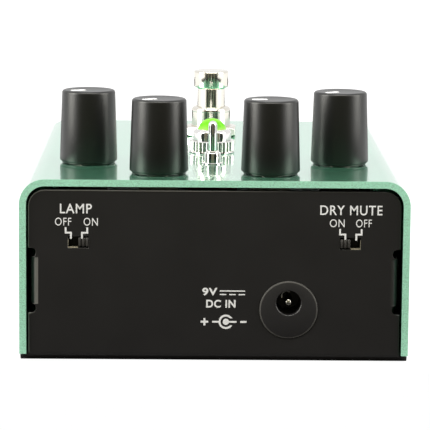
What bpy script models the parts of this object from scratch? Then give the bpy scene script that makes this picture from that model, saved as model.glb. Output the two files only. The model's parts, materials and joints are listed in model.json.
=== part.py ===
"""Compact guitar effects pedal: an anodised shell over a folded steel base.

Metres, +Z up. The origin is at the bottom centre. The rear panel, with the power
socket and the two slide switches, faces -Y; the battery door faces +Y.
Each sub-part is one named object; moving sub-parts have their origin on their joint.
"""

import math

import bmesh
import bpy
from mathutils import Matrix, Vector

# Enclosure
BODY_WIDTH = 0.098
BODY_DEPTH = 0.124
BODY_HEIGHT = 0.04625  # underside of the base plate to the top of the shell
SHELL_WALL = 0.00175
SHELL_CORNER = 0.0064
PLATE = 0.0015  # thickness of the folded steel
PLATE_INSET = 0.0002  # base plate inside the shell's outer sides
PANEL_RECESS = 0.0005  # panels inside the shell's ends
PANEL_SIDE_GAP = 0.0005
PANEL_TOP_GAP = 0.0009
PLATE_BEND = 0.0022
GAP = 0.0003  # between pieces that rest on each other
FOOT_HEIGHT = 0.0015
FOOT_RADIUS = 0.0055
FOOT_FROM_SIDE = 0.011
FOOT_FROM_END = 0.022

# Folded side tabs of the panels, with a relief notch above and below each
TAB_LOW = 0.0131  # above the plate's top face
TAB_HIGH = 0.0250
TAB_STEP = 0.0006  # tab's outer face inside the panel's edge
TAB_BEND = 0.0019
TAB_LENGTH = 0.0065
NOTCH_HEIGHT = 0.0023
NOTCH_DEPTH = 0.00195
NOTCH_ROUND = 0.0009

# Screw posts and screws
POST_RADIUS = 0.0035
POST_FROM_WALL = 0.0006
POST_FROM_END = 0.012
SCREW_RADIUS = 0.0014
SCREW_HEAD_RADIUS = 0.0028
SCREW_LENGTH = 0.010
SCREW_CLEARANCE = 0.0003

# Knobs and their potentiometers
OUTER_KNOB_FROM_SIDE = 0.0162
OUTER_KNOB_FROM_REAR = 0.0319
INNER_KNOB_X = 0.0142
INNER_KNOB_FROM_REAR = 0.0129
KNOB_BASE_RADIUS = 0.0075
KNOB_TOP_RADIUS = 0.00693
KNOB_HEIGHT = 0.0185
KNOB_LIFT = 0.00065
KNOB_EDGE = 0.0008
KNOB_SKIRT_WALL = 0.0013
POINTER_DEGREES = (64.0, 55.0, 83.0, 50.0)  # clockwise from the rear, left to right
POINTER_WIDTH = 0.0016
POINTER_DEPTH = 0.0003
POT_WIDTH = 0.0098
POT_DEPTH = 0.0114
POT_HEIGHT = 0.0078
POT_BUSH_RADIUS = 0.0035
POT_BUSH_RISE = 0.0034  # above the shell
SHAFT_RADIUS = 0.003
SHAFT_RISE = 0.01425
SHAFT_SUNK = 0.005  # below the shell's ceiling
POT_NUT_FLATS = 0.010
POT_NUT_HEIGHT = 0.002
FIT = 0.00015  # radial clearance of a turning or sliding fit

# Toggle, lamp and footswitch stand on one line, just left of the middle
CENTRE_LINE_X = -0.0004

# Toggle switch
TOGGLE_FROM_REAR = 0.0313
TOGGLE_BUSH_RADIUS = 0.00215
TOGGLE_BUSH_RISE = 0.00335
TOGGLE_BORE = 0.00156
TOGGLE_COLLAR_RADIUS = 0.0027
TOGGLE_COLLAR_HEIGHT = 0.0002
TOGGLE_RISE = 0.01125
TOGGLE_LEVER_RADIUS = 0.00115
TOGGLE_PIVOT_RISE = 0.00175
TOGGLE_TAIL = 0.0018
TOGGLE_CASE = (0.0127, 0.0069)

# Jewel lamp
JEWEL_FROM_REAR = 0.0545
JEWEL_FLANGE_RADIUS = 0.0062
JEWEL_FLANGE_HEIGHT = 0.0004
JEWEL_RING_RADIUS = 0.00605
JEWEL_RING_RISE = 0.00345
JEWEL_COLLAR_RADIUS = 0.00515
JEWEL_COLLAR_RISE = 0.0063
JEWEL_STEM_RADIUS = 0.004
JEWEL_STEM_LENGTH = 0.0055  # below the shell's outer face
JEWEL_BORE = 0.0031
LENS_RADIUS = 0.0039
LENS_RISE = 0.00905
LENS_SIDES = 12
JEWEL_NUT_FLATS = 0.011
JEWEL_NUT_HEIGHT = 0.002
LED_RADIUS = 0.0025
LED_HEIGHT = 0.0075

# Footswitch
FOOTSWITCH_FROM_FRONT = 0.0332
BARREL_RADIUS = 0.0055
BARREL_RISE = 0.00825
BARREL_ROUND = 0.0009
BARREL_FLANGE_RADIUS = 0.007
BARREL_FLANGE_HEIGHT = 0.0017
NECK_RADIUS = 0.00392
NECK_IN_BARREL = 0.004
CAP_RADIUS = 0.0049
CAP_HEIGHT = 0.00475
CAP_RISE = 0.01845
CAP_ROUND = 0.0008
FOOTSWITCH_TRAVEL = 0.003
STEM_RADIUS = 0.0015
FOOTSWITCH_CASE = 0.017
FOOTSWITCH_CASE_HEIGHT = 0.016
LUG_RADIUS = 0.0009
LUG_LENGTH = 0.004
LUG_PITCH = 0.0053
FOOTSWITCH_NUT_FLATS = 0.014
FOOTSWITCH_NUT_HEIGHT = 0.0028
SPRING_WIRE = 0.0003
SPRING_RADIUS = 0.0027
SPRING_TURNS = 5

# Power socket
SOCKET_X = 0.01875
SOCKET_FACE_RADIUS = 0.00725
SOCKET_FACE_Z = 0.01191  # centre, above the plate's top face
SOCKET_BORE_RADIUS = 0.00315
SOCKET_BORE_RAISED = 0.0018
SOCKET_BORE_DEPTH = 0.0100
SOCKET_DEPTH = 0.0148
SOCKET_PROUD = 0.0003
SOCKET_GAP = 0.0002
SOCKET_PIN_RADIUS = 0.001
SOCKET_PIN_LENGTH = 0.0088

# Slide switches
SLIDE_FROM_SIDE = 0.01484
SLIDE_SKEW = 0.00008  # the right window sits this much further in
SLIDE_WINDOW = (0.00522, 0.00303)
SLIDE_BELOW_BOARD = 0.00413  # window centre
SLIDE_CASE = (0.0086, 0.0062, 0.0064)
SLIDE_NUB = (0.0024, 0.0022)
SLIDE_NUB_PROUD = 0.0002
SLIDE_NUB_DEPTH = 0.0042
SLIDE_END_GAP = 0.00015
RIB_DEPTH = 0.0004
RIB_COUNT = 3

# Phone jacks in the sides
JACK_FROM_REAR = 0.067
JACK_CASE = (0.022, 0.020, 0.014)
JACK_BUSH_RADIUS = 0.0046
JACK_BUSH_RISE = 0.0038
JACK_BORE_RADIUS = 0.00325
JACK_BORE_DEPTH = 0.0262
JACK_NUT_FLATS = 0.0125
JACK_NUT_HEIGHT = 0.0022
JACK_WASHER_RADIUS = 0.0072
JACK_WASHER_HEIGHT = 0.0005

# Circuit board
BOARD_THICKNESS = 0.0016
BOARD_FROM_POSTS = 0.0004
BOARD_FROM_REAR = 0.0045
BOARD_FROM_FOOTSWITCH = 0.0063
CHIP_SIZE = 0.012
CHIP_HEIGHT = 0.0016
CAPACITOR_RADIUS = 0.003
CAPACITOR_HEIGHT = 0.006
CAPACITOR_X = 0.016

# Battery bay and door
BATTERY = (0.0485, 0.0175, 0.0265)
BATTERY_ROOM = 0.001
TRAY_WALL = 0.0015
CONTACT_BLOCK = 0.0035
CONTACT_RISE = 0.0017
CONTACT_PITCH = 0.0127
CONTACT_RADIUS = (0.0028, 0.0036)
DOOR_THICKNESS = 0.002
DOOR_TOP_MARGIN = 0.0042  # door above the tray's inner top
KNUCKLE_RADIUS = 0.0019
PIN_RADIUS = 0.0009
PIN_SHORT = 0.0005
EAR_FROM_EDGE = 0.0055
EAR_WIDTH = 0.003
MAGNET_X = 0.014
MAGNET_RADIUS = 0.0025
MAGNET_HEIGHT = 0.0012
MAGNET_BELOW_TOP = 0.0035
STRIKE_HALF_WIDTH = 0.020
STRIKE_THICKNESS = 0.0012
STRIKE_DROP = 0.0065  # below the door opening's top
FINGER_RADIUS = 0.008
FINGER_DEPTH = 0.0025

# Roundness
ROUND, COARSE = 32, 24
EDGE_STEPS = 3

# Places that follow from the sizes
HALF_X, HALF_Y = BODY_WIDTH / 2, BODY_DEPTH / 2
BASE_Z = FOOT_HEIGHT
FLOOR_Z = BASE_Z + PLATE
TOP_Z = BASE_Z + BODY_HEIGHT
CEILING_Z = TOP_Z - SHELL_WALL
INNER_X = HALF_X - SHELL_WALL
PANEL_Y = HALF_Y - PANEL_RECESS
PANEL_X = INNER_X - PANEL_SIDE_GAP
PANEL_TOP = CEILING_Z - PANEL_TOP_GAP
PANEL_CORNER = SHELL_CORNER - SHELL_WALL - PANEL_SIDE_GAP
HUNG_Z = CEILING_Z - GAP  # top of what is clamped under the shell
BOARD_TOP = HUNG_Z - POT_HEIGHT - GAP
BOARD_LOW = BOARD_TOP - BOARD_THICKNESS
OUTER_KNOB_X = HALF_X - OUTER_KNOB_FROM_SIDE
OUTER_KNOB_Y = OUTER_KNOB_FROM_REAR - HALF_Y
INNER_KNOB_Y = INNER_KNOB_FROM_REAR - HALF_Y
KNOB_PLACES = (
    (-OUTER_KNOB_X, OUTER_KNOB_Y),
    (-INNER_KNOB_X, INNER_KNOB_Y),
    (INNER_KNOB_X, INNER_KNOB_Y),
    (OUTER_KNOB_X, OUTER_KNOB_Y),
)
TOGGLE_Y = TOGGLE_FROM_REAR - HALF_Y
JEWEL_Y = JEWEL_FROM_REAR - HALF_Y
FOOTSWITCH_Y = HALF_Y - FOOTSWITCH_FROM_FRONT
JACK_Y = JACK_FROM_REAR - HALF_Y
JACK_Z = (FLOOR_Z + BOARD_LOW) / 2
SLIDE_Z = BOARD_LOW - SLIDE_BELOW_BOARD
HINGE_Y = PANEL_Y - KNUCKLE_RADIUS
HINGE_Z = FLOOR_Z + GAP + KNUCKLE_RADIUS
TRAY_INNER_X = (BATTERY[0] + BATTERY_ROOM + CONTACT_BLOCK + CONTACT_RISE) / 2
TRAY_OUTER_X = TRAY_INNER_X + TRAY_WALL
TRAY_FLOOR = FLOOR_Z + GAP + TRAY_WALL
TRAY_CEILING = TRAY_FLOOR + BATTERY[2] + BATTERY_ROOM
TRAY_FRONT = HINGE_Y - KNUCKLE_RADIUS - GAP
TRAY_BACK = TRAY_FRONT - BATTERY[1] - BATTERY_ROOM / 2
DOOR_HALF_X = TRAY_OUTER_X + GAP
DOOR_TOP = TRAY_CEILING + DOOR_TOP_MARGIN
OPENING_HALF_X = DOOR_HALF_X + GAP
OPENING_TOP = DOOR_TOP + GAP + GAP / 3
TO_REAR = (math.radians(90), 0, 0)  # turns +Z to -Y
TO_RIGHT = (0, math.radians(90), 0)  # turns +Z to +X
TO_LEFT = (0, math.radians(-90), 0)


# Tools of the model


def clear_scene():
    """Removes the objects that are already there."""
    for thing in list(bpy.data.objects):
        bpy.data.objects.remove(thing)


def make_collection(name):
    """A new collection in the scene."""
    group = bpy.data.collections.new(name)
    bpy.context.scene.collection.children.link(group)
    return group


def paint(name, colour, roughness, metallic=0.0):
    """A plain Principled material for one sub-part."""
    made = bpy.data.materials.new(name)
    made.use_nodes = True
    shader = made.node_tree.nodes["Principled BSDF"]
    shader.inputs["Base Color"].default_value = (*colour, 1.0)
    shader.inputs["Roughness"].default_value = roughness
    shader.inputs["Metallic"].default_value = metallic
    return made


def place_object(name, mesh, origin=(0, 0, 0), turn=(0, 0, 0), material=None):
    """Puts a mesh in the scene: a sub-part if it has a material, else a hidden tool shape."""
    thing = bpy.data.objects.new(name, mesh)
    thing.location = origin
    thing.rotation_euler = turn
    if material is None:
        thing.hide_render = True
        thing.display_type = "WIRE"
        CUTTERS.objects.link(thing)
    else:
        mesh.materials.append(material)
        PARTS.objects.link(thing)
    return thing


def mesh_of(shape, name):
    """Turns a bmesh into a mesh and frees it."""
    mesh = bpy.data.meshes.new(name)
    shape.to_mesh(mesh)
    shape.free()
    return mesh


def block(name, low, high, origin=(0, 0, 0), material=None):
    """A box between two corners, given in the object's frame, with its origin at a point of choice."""
    low, high, origin = Vector(low), Vector(high), Vector(origin)
    size = high - low
    shape = bmesh.new()
    matrix = Matrix.Translation((low + high) / 2 - origin) @ Matrix.Diagonal((*size, 1))
    bmesh.ops.create_cube(shape, size=1.0, matrix=matrix)
    return place_object(name, mesh_of(shape, name), origin, material=material)


def rod(name, radius, length, origin, turn=(0, 0, 0), sides=COARSE, end=None, material=None):
    """A cylinder, or a cone with another end radius, from its origin along its own +Z."""
    shape = bmesh.new()
    bmesh.ops.create_cone(
        shape,
        cap_ends=True,
        segments=sides,
        radius1=radius,
        radius2=radius if end is None else end,
        depth=length,
        matrix=Matrix.Translation((0, 0, length / 2)),
    )
    thing = place_object(name, mesh_of(shape, name), origin, turn, material)
    smooth(thing)
    return thing


def turned(name, profile, origin, turn=(0, 0, 0), sides=ROUND, closed=False, material=None):
    """A turned piece: a profile of (radius, height) from top to bottom on its outer side."""
    mesh = bpy.data.meshes.new(name)
    count = len(profile)
    edges = [(i, (i + 1) % count) for i in range(count if closed else count - 1)]
    mesh.from_pydata([(radius, 0, height) for radius, height in profile], edges, [])
    thing = place_object(name, mesh, origin, turn, material)
    screw = thing.modifiers.new("Screw", "SCREW")
    screw.steps = screw.render_steps = sides
    screw.use_merge_vertices = True
    screw.merge_threshold = 0.00001
    screw.use_smooth_shade = True
    return thing


def arc(centre_radius, centre_height, size, first, last, steps=EDGE_STEPS):
    """Points of a rounded edge of a profile, between two angles in degrees from +X."""
    points = []
    for step in range(steps + 1):
        angle = math.radians(first + (last - first) * step / steps)
        points.append(
            (centre_radius + size * math.cos(angle), centre_height + size * math.sin(angle))
        )
    return points


def hexagon(name, flats, height, origin, bore, turn=(0, 0, 0), material=None):
    """A hexagon nut standing on its origin, with a round bore."""
    nut = rod(name, flats / math.sqrt(3), height, origin, turn, 6, material=material)
    tool = rod(name + "_bore", bore, 3 * height, origin, turn)
    tool.delta_location = -height * (tool.rotation_euler.to_matrix() @ Vector((0, 0, 1)))
    cut(nut, tool)
    return nut


def smooth(thing):
    """Shades a round piece smooth, with its sharp edges kept."""
    thing.data.shade_smooth()
    thing.data.set_sharp_from_angle(angle=math.radians(30))


def combine(thing, operation, tools):
    """Adds one EXACT Boolean modifier for each tool shape."""
    for tool in tools:
        modifier = thing.modifiers.new(tool.name, "BOOLEAN")
        modifier.operation = operation
        modifier.solver = "EXACT"
        modifier.object = tool


def cut(thing, *tools):
    combine(thing, "DIFFERENCE", tools)


def join(thing, *tools):
    combine(thing, "UNION", tools)


def bevel(thing, width, steps=EDGE_STEPS):
    """Rounds the sharp edges of a piece."""
    modifier = thing.modifiers.new("Bevel", "BEVEL")
    modifier.width = width
    modifier.segments = steps
    modifier.limit_method = "ANGLE"
    modifier.harden_normals = False


def bent_sheet(name, low, high, keep, radius, thickness, steps, material=None):
    """A box with only some of its faces, its edges bent round and its wall grown inwards.

    keep is a function of a face's normal that says which faces of the box the sheet has.
    """
    sheet = block(name, low, high, material=material)
    shape = bmesh.new()
    shape.from_mesh(sheet.data)
    shape.normal_update()
    gone = [face for face in shape.faces if not keep(face.normal)]
    bmesh.ops.delete(shape, geom=gone, context="FACES")
    shape.to_mesh(sheet.data)
    shape.free()
    bevel(sheet, radius, steps)
    wall = sheet.modifiers.new("Wall", "SOLIDIFY")
    wall.thickness = thickness
    wall.offset = -1
    wall.use_even_offset = True
    return sheet


# Enclosure


def corner_places(from_side, from_end):
    """Four places, one near each corner of the body, numbered from the rear left."""
    return [
        (side * (HALF_X - from_side), end * (HALF_Y - from_end))
        for end in (-1, 1)
        for side in (-1, 1)
    ]


POST_PLACES = corner_places(SHELL_WALL + POST_FROM_WALL + POST_RADIUS, POST_FROM_END)


def make_top_shell():
    """The anodised cover: one bent wall over the top and both sides, with screw posts inside."""
    shell = bent_sheet(
        "top_shell",
        (-HALF_X, -HALF_Y, FLOOR_Z + GAP),
        (HALF_X, HALF_Y, TOP_Z),
        lambda normal: abs(normal.x) > 0.5 or normal.z > 0.5,
        SHELL_CORNER,
        SHELL_WALL,
        6,
        paint("green_anodised", (0.35, 0.62, 0.47), 0.35, 0.9),
    )
    low = FLOOR_Z + GAP
    for number, (x, y) in enumerate(POST_PLACES, 1):
        height = CEILING_Z + SHELL_WALL / 2 - low
        join(shell, rod(f"post_{number}", POST_RADIUS, height, (x, y, low)))
        hole = SCREW_RADIUS + SCREW_CLEARANCE
        depth = SCREW_LENGTH + PLATE
        cut(shell, rod(f"post_hole_{number}", hole, depth, (x, y, low - PLATE), sides=16))
    through = 2 * SHELL_WALL
    low = CEILING_Z - SHELL_WALL / 2
    holes = [(x, y, POT_BUSH_RADIUS) for x, y in KNOB_PLACES]
    holes.append((CENTRE_LINE_X, TOGGLE_Y, TOGGLE_BUSH_RADIUS))
    holes.append((CENTRE_LINE_X, JEWEL_Y, JEWEL_STEM_RADIUS))
    holes.append((CENTRE_LINE_X, FOOTSWITCH_Y, BARREL_RADIUS))
    for number, (x, y, radius) in enumerate(holes, 1):
        cut(shell, rod(f"top_hole_{number}", radius + GAP, through, (x, y, low)))
    for side, turn in ((-1, TO_LEFT), (1, TO_RIGHT)):
        start = (side * (INNER_X - SHELL_WALL / 2), JACK_Y, JACK_Z)
        cut(shell, rod(f"jack_hole_{side}", JACK_BUSH_RADIUS + GAP, through, start, turn))


def panel_corner_tool(side, end):
    """What is cut off an upper corner of a panel: a square corner less a round one."""
    x, z = side * (PANEL_X - PANEL_CORNER), PANEL_TOP - PANEL_CORNER
    beyond = 2 * PANEL_CORNER
    xs = sorted((x, x + side * beyond))
    ys = sorted((end * (PANEL_Y - beyond), end * (PANEL_Y + beyond)))
    name = f"corner_{side}_{end}"
    tool = block(name, (xs[0], ys[0], z), (xs[1], ys[1], z + beyond))
    start = (x, ys[1] + PLATE, z)
    cut(tool, rod(name + "_round", PANEL_CORNER, 3 * beyond, start, TO_REAR))
    return tool


def add_side_tab(chassis, side, end):
    """Cuts the relief notches in one side of a panel and folds the tab between them inwards."""
    low, high = FLOOR_Z + TAB_LOW, FLOOR_Z + TAB_HIGH
    edge = PANEL_X - TAB_STEP
    inner = PANEL_X - NOTCH_DEPTH
    ys = sorted((end * (PANEL_Y - 2 * PLATE), end * (PANEL_Y + 2 * PLATE)))

    def side_block(name, first_x, last_x, first_z, last_z):
        xs = sorted((side * first_x, side * last_x))
        return block(name, (xs[0], ys[0], first_z), (xs[1], ys[1], last_z))

    for level, first, last in (
        ("low", low - NOTCH_HEIGHT, low),
        ("high", high, high + NOTCH_HEIGHT),
    ):
        notch = side_block(f"notch_{level}_{side}_{end}", inner, HALF_X, first, last)
        bevel(notch, NOTCH_ROUND)
        cut(chassis, notch)
    start = edge - TAB_BEND
    cut(chassis, side_block(f"tab_room_{side}_{end}", start, HALF_X, low, high))
    name = f"tab_{side}_{end}"
    xs = sorted((side * (start - TAB_BEND), side * edge))
    tab_ys = sorted((end * PANEL_Y, end * (PANEL_Y - TAB_LENGTH)))
    tab = bent_sheet(
        name,
        (xs[0], tab_ys[0], low),
        (xs[1], tab_ys[1], high),
        lambda normal: normal.x * side > 0.5 or normal.y * end > 0.5,
        TAB_BEND,
        PLATE,
        EDGE_STEPS,
    )
    join(chassis, tab)


def make_base_chassis():
    """The folded steel base: base plate, rear panel with its windows, and front frame."""
    beyond = 0.01
    chassis = bent_sheet(
        "base_chassis",
        (-HALF_X + PLATE_INSET, -PANEL_Y, BASE_Z),
        (HALF_X - PLATE_INSET, PANEL_Y, PANEL_TOP),
        lambda normal: abs(normal.y) > 0.5 or normal.z < -0.5,
        PLATE_BEND,
        PLATE,
        4,
        paint("black_powder_coat", (0.02, 0.019, 0.019), 0.45, 0.0),
    )
    for side in (-1, 1):
        xs = sorted((side * PANEL_X, side * (HALF_X + beyond)))
        low = (xs[0], -HALF_Y - beyond, FLOOR_Z)
        high = (xs[1], HALF_Y + beyond, TOP_Z + beyond)
        cut(chassis, block(f"beside_panels_{side}", low, high))
        for end in (-1, 1):
            cut(chassis, panel_corner_tool(side, end))
            add_side_tab(chassis, side, end)
    low = (-OPENING_HALF_X, PANEL_Y - 2 * PLATE, FLOOR_Z)
    high = (OPENING_HALF_X, PANEL_Y + beyond, OPENING_TOP)
    cut(chassis, block("door_opening", low, high))
    for side in (-1, 1):
        x, half_x, half_z = slide_x(side), SLIDE_WINDOW[0] / 2, SLIDE_WINDOW[1] / 2
        low = (x - half_x, -HALF_Y - beyond, SLIDE_Z - half_z)
        high = (x + half_x, -PANEL_Y + 2 * PLATE, SLIDE_Z + half_z)
        cut(chassis, block(f"slide_window_{side}", low, high))
    start = (SOCKET_X, -PANEL_Y + 2 * PLATE, FLOOR_Z + SOCKET_FACE_Z)
    radius = SOCKET_FACE_RADIUS + SOCKET_GAP
    cut(chassis, rod("socket_hole", radius, 4 * PLATE, start, TO_REAR, ROUND))
    for number, (x, y) in enumerate(POST_PLACES, 1):
        wide = SCREW_HEAD_RADIUS + SCREW_CLEARANCE
        narrow = SCREW_RADIUS + SCREW_CLEARANCE
        cone = rod(f"countersink_{number}", wide, PLATE + GAP, (x, y, BASE_Z - GAP), end=narrow)
        cut(chassis, cone)
        through = rod(f"screw_hole_{number}", narrow, 3 * PLATE, (x, y, BASE_Z - PLATE))
        cut(chassis, through)


def make_screws():
    """Countersunk screws from below into the shell's posts."""
    finish = paint("black_steel", (0.05, 0.05, 0.05), 0.35, 0.8)
    head = PLATE - GAP
    for number, (x, y) in enumerate(POST_PLACES, 1):
        profile = (
            (0, SCREW_LENGTH),
            (SCREW_RADIUS, SCREW_LENGTH),
            (SCREW_RADIUS, head),
            (SCREW_HEAD_RADIUS, 0),
            (0, 0),
        )
        place = (x, y, BASE_Z + GAP / 3)
        screw = turned(f"base_screw_{number}", profile, place, sides=16, material=finish)
        size, deep = SCREW_RADIUS, head / 2
        low, high = (x - size, y - size, BASE_Z - PLATE), (x + size, y + size, BASE_Z + deep)
        slot = block(f"drive_{number}", low, high)
        cut(screw, slot)


def make_feet():
    """Low rubber feet under the base plate."""
    rubber = paint("black_rubber", (0.03, 0.03, 0.03), 0.8)
    top = FOOT_HEIGHT - GAP
    for number, (x, y) in enumerate(corner_places(FOOT_FROM_SIDE, FOOT_FROM_END), 1):
        chamfer = FOOT_HEIGHT / 4
        profile = (
            (0, top),
            (FOOT_RADIUS, top),
            (FOOT_RADIUS, chamfer),
            (FOOT_RADIUS - chamfer, 0),
            (0, 0),
        )
        turned(f"rubber_foot_{number}", profile, (x, y, 0), sides=COARSE, material=rubber)


# Knobs


def make_knob(number, x, y, degrees, material):
    """A tapered knob, hollow below for the nut, with a pointer groove on its top."""
    base = TOP_Z + KNOB_LIFT
    nut_room = TOP_Z + POT_BUSH_RISE + 2 * GAP - base
    bore_top = TOP_Z + SHAFT_RISE + GAP - base
    bore = SHAFT_RADIUS + FIT
    inner = KNOB_BASE_RADIUS - KNOB_SKIRT_WALL
    chamfer = KNOB_EDGE / 4
    profile = [(0, KNOB_HEIGHT)]
    round_x, round_z = KNOB_TOP_RADIUS - KNOB_EDGE, KNOB_HEIGHT - KNOB_EDGE
    profile += arc(round_x, round_z, KNOB_EDGE, 90, 0)
    profile += [(KNOB_BASE_RADIUS, chamfer), (KNOB_BASE_RADIUS - chamfer, 0), (inner, 0)]
    profile += [(inner, nut_room), (bore, nut_room), (bore, bore_top), (0, bore_top)]
    knob = turned(f"knob_{number}", profile, (x, y, base), material=material)
    half, reach = POINTER_WIDTH / 2, KNOB_TOP_RADIUS - KNOB_EDGE
    low = (-half, -reach, KNOB_HEIGHT - POINTER_DEPTH)
    groove = block(f"pointer_{number}", low, (half, 0, KNOB_HEIGHT + POINTER_DEPTH))
    groove.location = (x, y, base)
    groove.rotation_euler = (0, 0, -math.radians(degrees))
    cut(knob, groove)


def make_pot_body(number, x, y, material):
    """A board-mounted potentiometer: a box with its threaded bushing on top."""
    low = (x - POT_WIDTH / 2, y - POT_DEPTH / 2, HUNG_Z - POT_HEIGHT)
    high = (x + POT_WIDTH / 2, y + POT_DEPTH / 2, HUNG_Z)
    body = block(f"pot_body_{number}", low, high, material=material)
    rise = TOP_Z + POT_BUSH_RISE - HUNG_Z + GAP
    join(body, rod(f"pot_bush_{number}", POT_BUSH_RADIUS, rise, (x, y, HUNG_Z - GAP)))
    deep = CEILING_Z - SHAFT_SUNK - GAP
    length = TOP_Z + POT_BUSH_RISE + GAP - deep
    cut(body, rod(f"pot_bore_{number}", SHAFT_RADIUS + FIT, length, (x, y, deep)))


def make_knobs():
    """The four knobs, each with its shaft, potentiometer and nut."""
    knob_paint = paint("charcoal_knob", (0.035, 0.034, 0.032), 0.5)
    metal = paint("pot_metal", (0.6, 0.58, 0.54), 0.35, 1.0)
    body_paint = paint("pot_case", (0.35, 0.35, 0.33), 0.45, 0.8)
    bottom = CEILING_Z - SHAFT_SUNK
    for number, ((x, y), degrees) in enumerate(zip(KNOB_PLACES, POINTER_DEGREES), 1):
        make_knob(number, x, y, degrees, knob_paint)
        make_pot_body(number, x, y, body_paint)
        length = TOP_Z + SHAFT_RISE - bottom
        rod(f"pot_shaft_{number}", SHAFT_RADIUS, length, (x, y, bottom), material=metal)
        place = (x, y, TOP_Z + GAP)
        bore = POT_BUSH_RADIUS + FIT
        hexagon(f"pot_nut_{number}", POT_NUT_FLATS, POT_NUT_HEIGHT, place, bore, material=metal)


# Toggle switch


def make_toggle():
    """Three-position toggle: case on the board, plated bushing, and a lever on its pivot."""
    chrome = paint("toggle_chrome", (0.8, 0.79, 0.77), 0.12, 1.0)
    width, depth = TOGGLE_CASE
    top = HUNG_Z - GAP
    block(
        "toggle_case",
        (CENTRE_LINE_X - width / 2, TOGGLE_Y - depth / 2, BOARD_TOP + GAP),
        (CENTRE_LINE_X + width / 2, TOGGLE_Y + depth / 2, top - GAP),
        material=paint("switch_case", (0.45, 0.05, 0.04), 0.5),
    )
    pivot = TOP_Z + TOGGLE_PIVOT_RISE
    rise = TOP_Z + TOGGLE_BUSH_RISE - top
    seat = TOP_Z + GAP - top
    lip = 2 * (TOGGLE_BUSH_RADIUS - TOGGLE_BORE) / 3
    profile = arc(TOGGLE_BUSH_RADIUS - lip, rise - lip, lip, 90, 0)
    profile += [
        (TOGGLE_BUSH_RADIUS, seat + TOGGLE_COLLAR_HEIGHT),
        (TOGGLE_COLLAR_RADIUS, seat + TOGGLE_COLLAR_HEIGHT),
        (TOGGLE_COLLAR_RADIUS, seat),
        (TOGGLE_BUSH_RADIUS, seat),
        (TOGGLE_BUSH_RADIUS, 0),
        (TOGGLE_BORE, 0),
        (TOGGLE_BORE, rise),
    ]
    place = (CENTRE_LINE_X, TOGGLE_Y, top)
    turned("toggle_bushing", profile, place, sides=COARSE, closed=True, material=chrome)
    tip = TOGGLE_RISE - TOGGLE_PIVOT_RISE
    radius = TOGGLE_LEVER_RADIUS
    profile = arc(0, tip - radius, radius, 90, 0, 4)
    profile += [(radius, -TOGGLE_TAIL), (0, -TOGGLE_TAIL)]
    turned("toggle_lever", profile, (CENTRE_LINE_X, TOGGLE_Y, pivot), sides=COARSE, material=chrome)


# Jewel lamp


def make_jewel():
    """Plated bezel with a faceted green lens, its nut under the shell and the lamp below."""
    chrome = paint("bezel_chrome", (0.82, 0.8, 0.76), 0.12, 1.0)
    seat = TOP_Z + GAP
    stem = JEWEL_STEM_LENGTH
    collar = JEWEL_COLLAR_RISE - GAP
    shoulder = JEWEL_COLLAR_RADIUS - LENS_RADIUS - FIT
    profile = [(LENS_RADIUS + FIT, collar)]
    profile += arc(JEWEL_COLLAR_RADIUS - shoulder, collar - shoulder, shoulder, 60, 0)
    profile += [
        (JEWEL_COLLAR_RADIUS, JEWEL_RING_RISE - GAP),
        (JEWEL_RING_RADIUS, JEWEL_RING_RISE - 2 * GAP),
        (JEWEL_RING_RADIUS, JEWEL_FLANGE_HEIGHT),
        (JEWEL_FLANGE_RADIUS, JEWEL_FLANGE_HEIGHT),
        (JEWEL_FLANGE_RADIUS, 0),
        (JEWEL_STEM_RADIUS, 0),
        (JEWEL_STEM_RADIUS, -stem),
        (JEWEL_BORE, -stem),
        (JEWEL_BORE, collar / 2),
        (LENS_RADIUS + FIT, collar / 2),
    ]
    turned("jewel_bezel", profile, (CENTRE_LINE_X, JEWEL_Y, seat), closed=True, material=chrome)
    low = collar / 2 + GAP
    top = LENS_RISE - GAP
    rim = collar
    middle = rim + (top - rim) * 0.55
    profile = [
        (0, top),
        (LENS_RADIUS * 0.38, top),
        (LENS_RADIUS * 0.78, middle),
        (LENS_RADIUS, rim),
        (LENS_RADIUS, low),
        (0, low),
    ]
    green = paint("jewel_green", (0.25, 0.85, 0.02), 0.08)
    place = (CENTRE_LINE_X, JEWEL_Y, seat)
    turned("jewel_lens", profile, place, sides=LENS_SIDES, material=green)
    bore = JEWEL_STEM_RADIUS + FIT
    place = (CENTRE_LINE_X, JEWEL_Y, HUNG_Z - JEWEL_NUT_HEIGHT)
    nut = paint("jewel_nut_metal", (0.6, 0.58, 0.54), 0.35, 1.0)
    hexagon("jewel_nut", JEWEL_NUT_FLATS, JEWEL_NUT_HEIGHT, place, bore, material=nut)
    dome = arc(0, LED_HEIGHT - LED_RADIUS, LED_RADIUS, 90, 0, 4)
    profile = dome + [(LED_RADIUS, 0), (0, 0)]
    lamp = paint("lamp_epoxy", (0.6, 0.9, 0.5), 0.2)
    place = (CENTRE_LINE_X, JEWEL_Y, BOARD_TOP + GAP)
    turned("indicator_lamp", profile, place, sides=16, material=lamp)


# Footswitch


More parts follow.
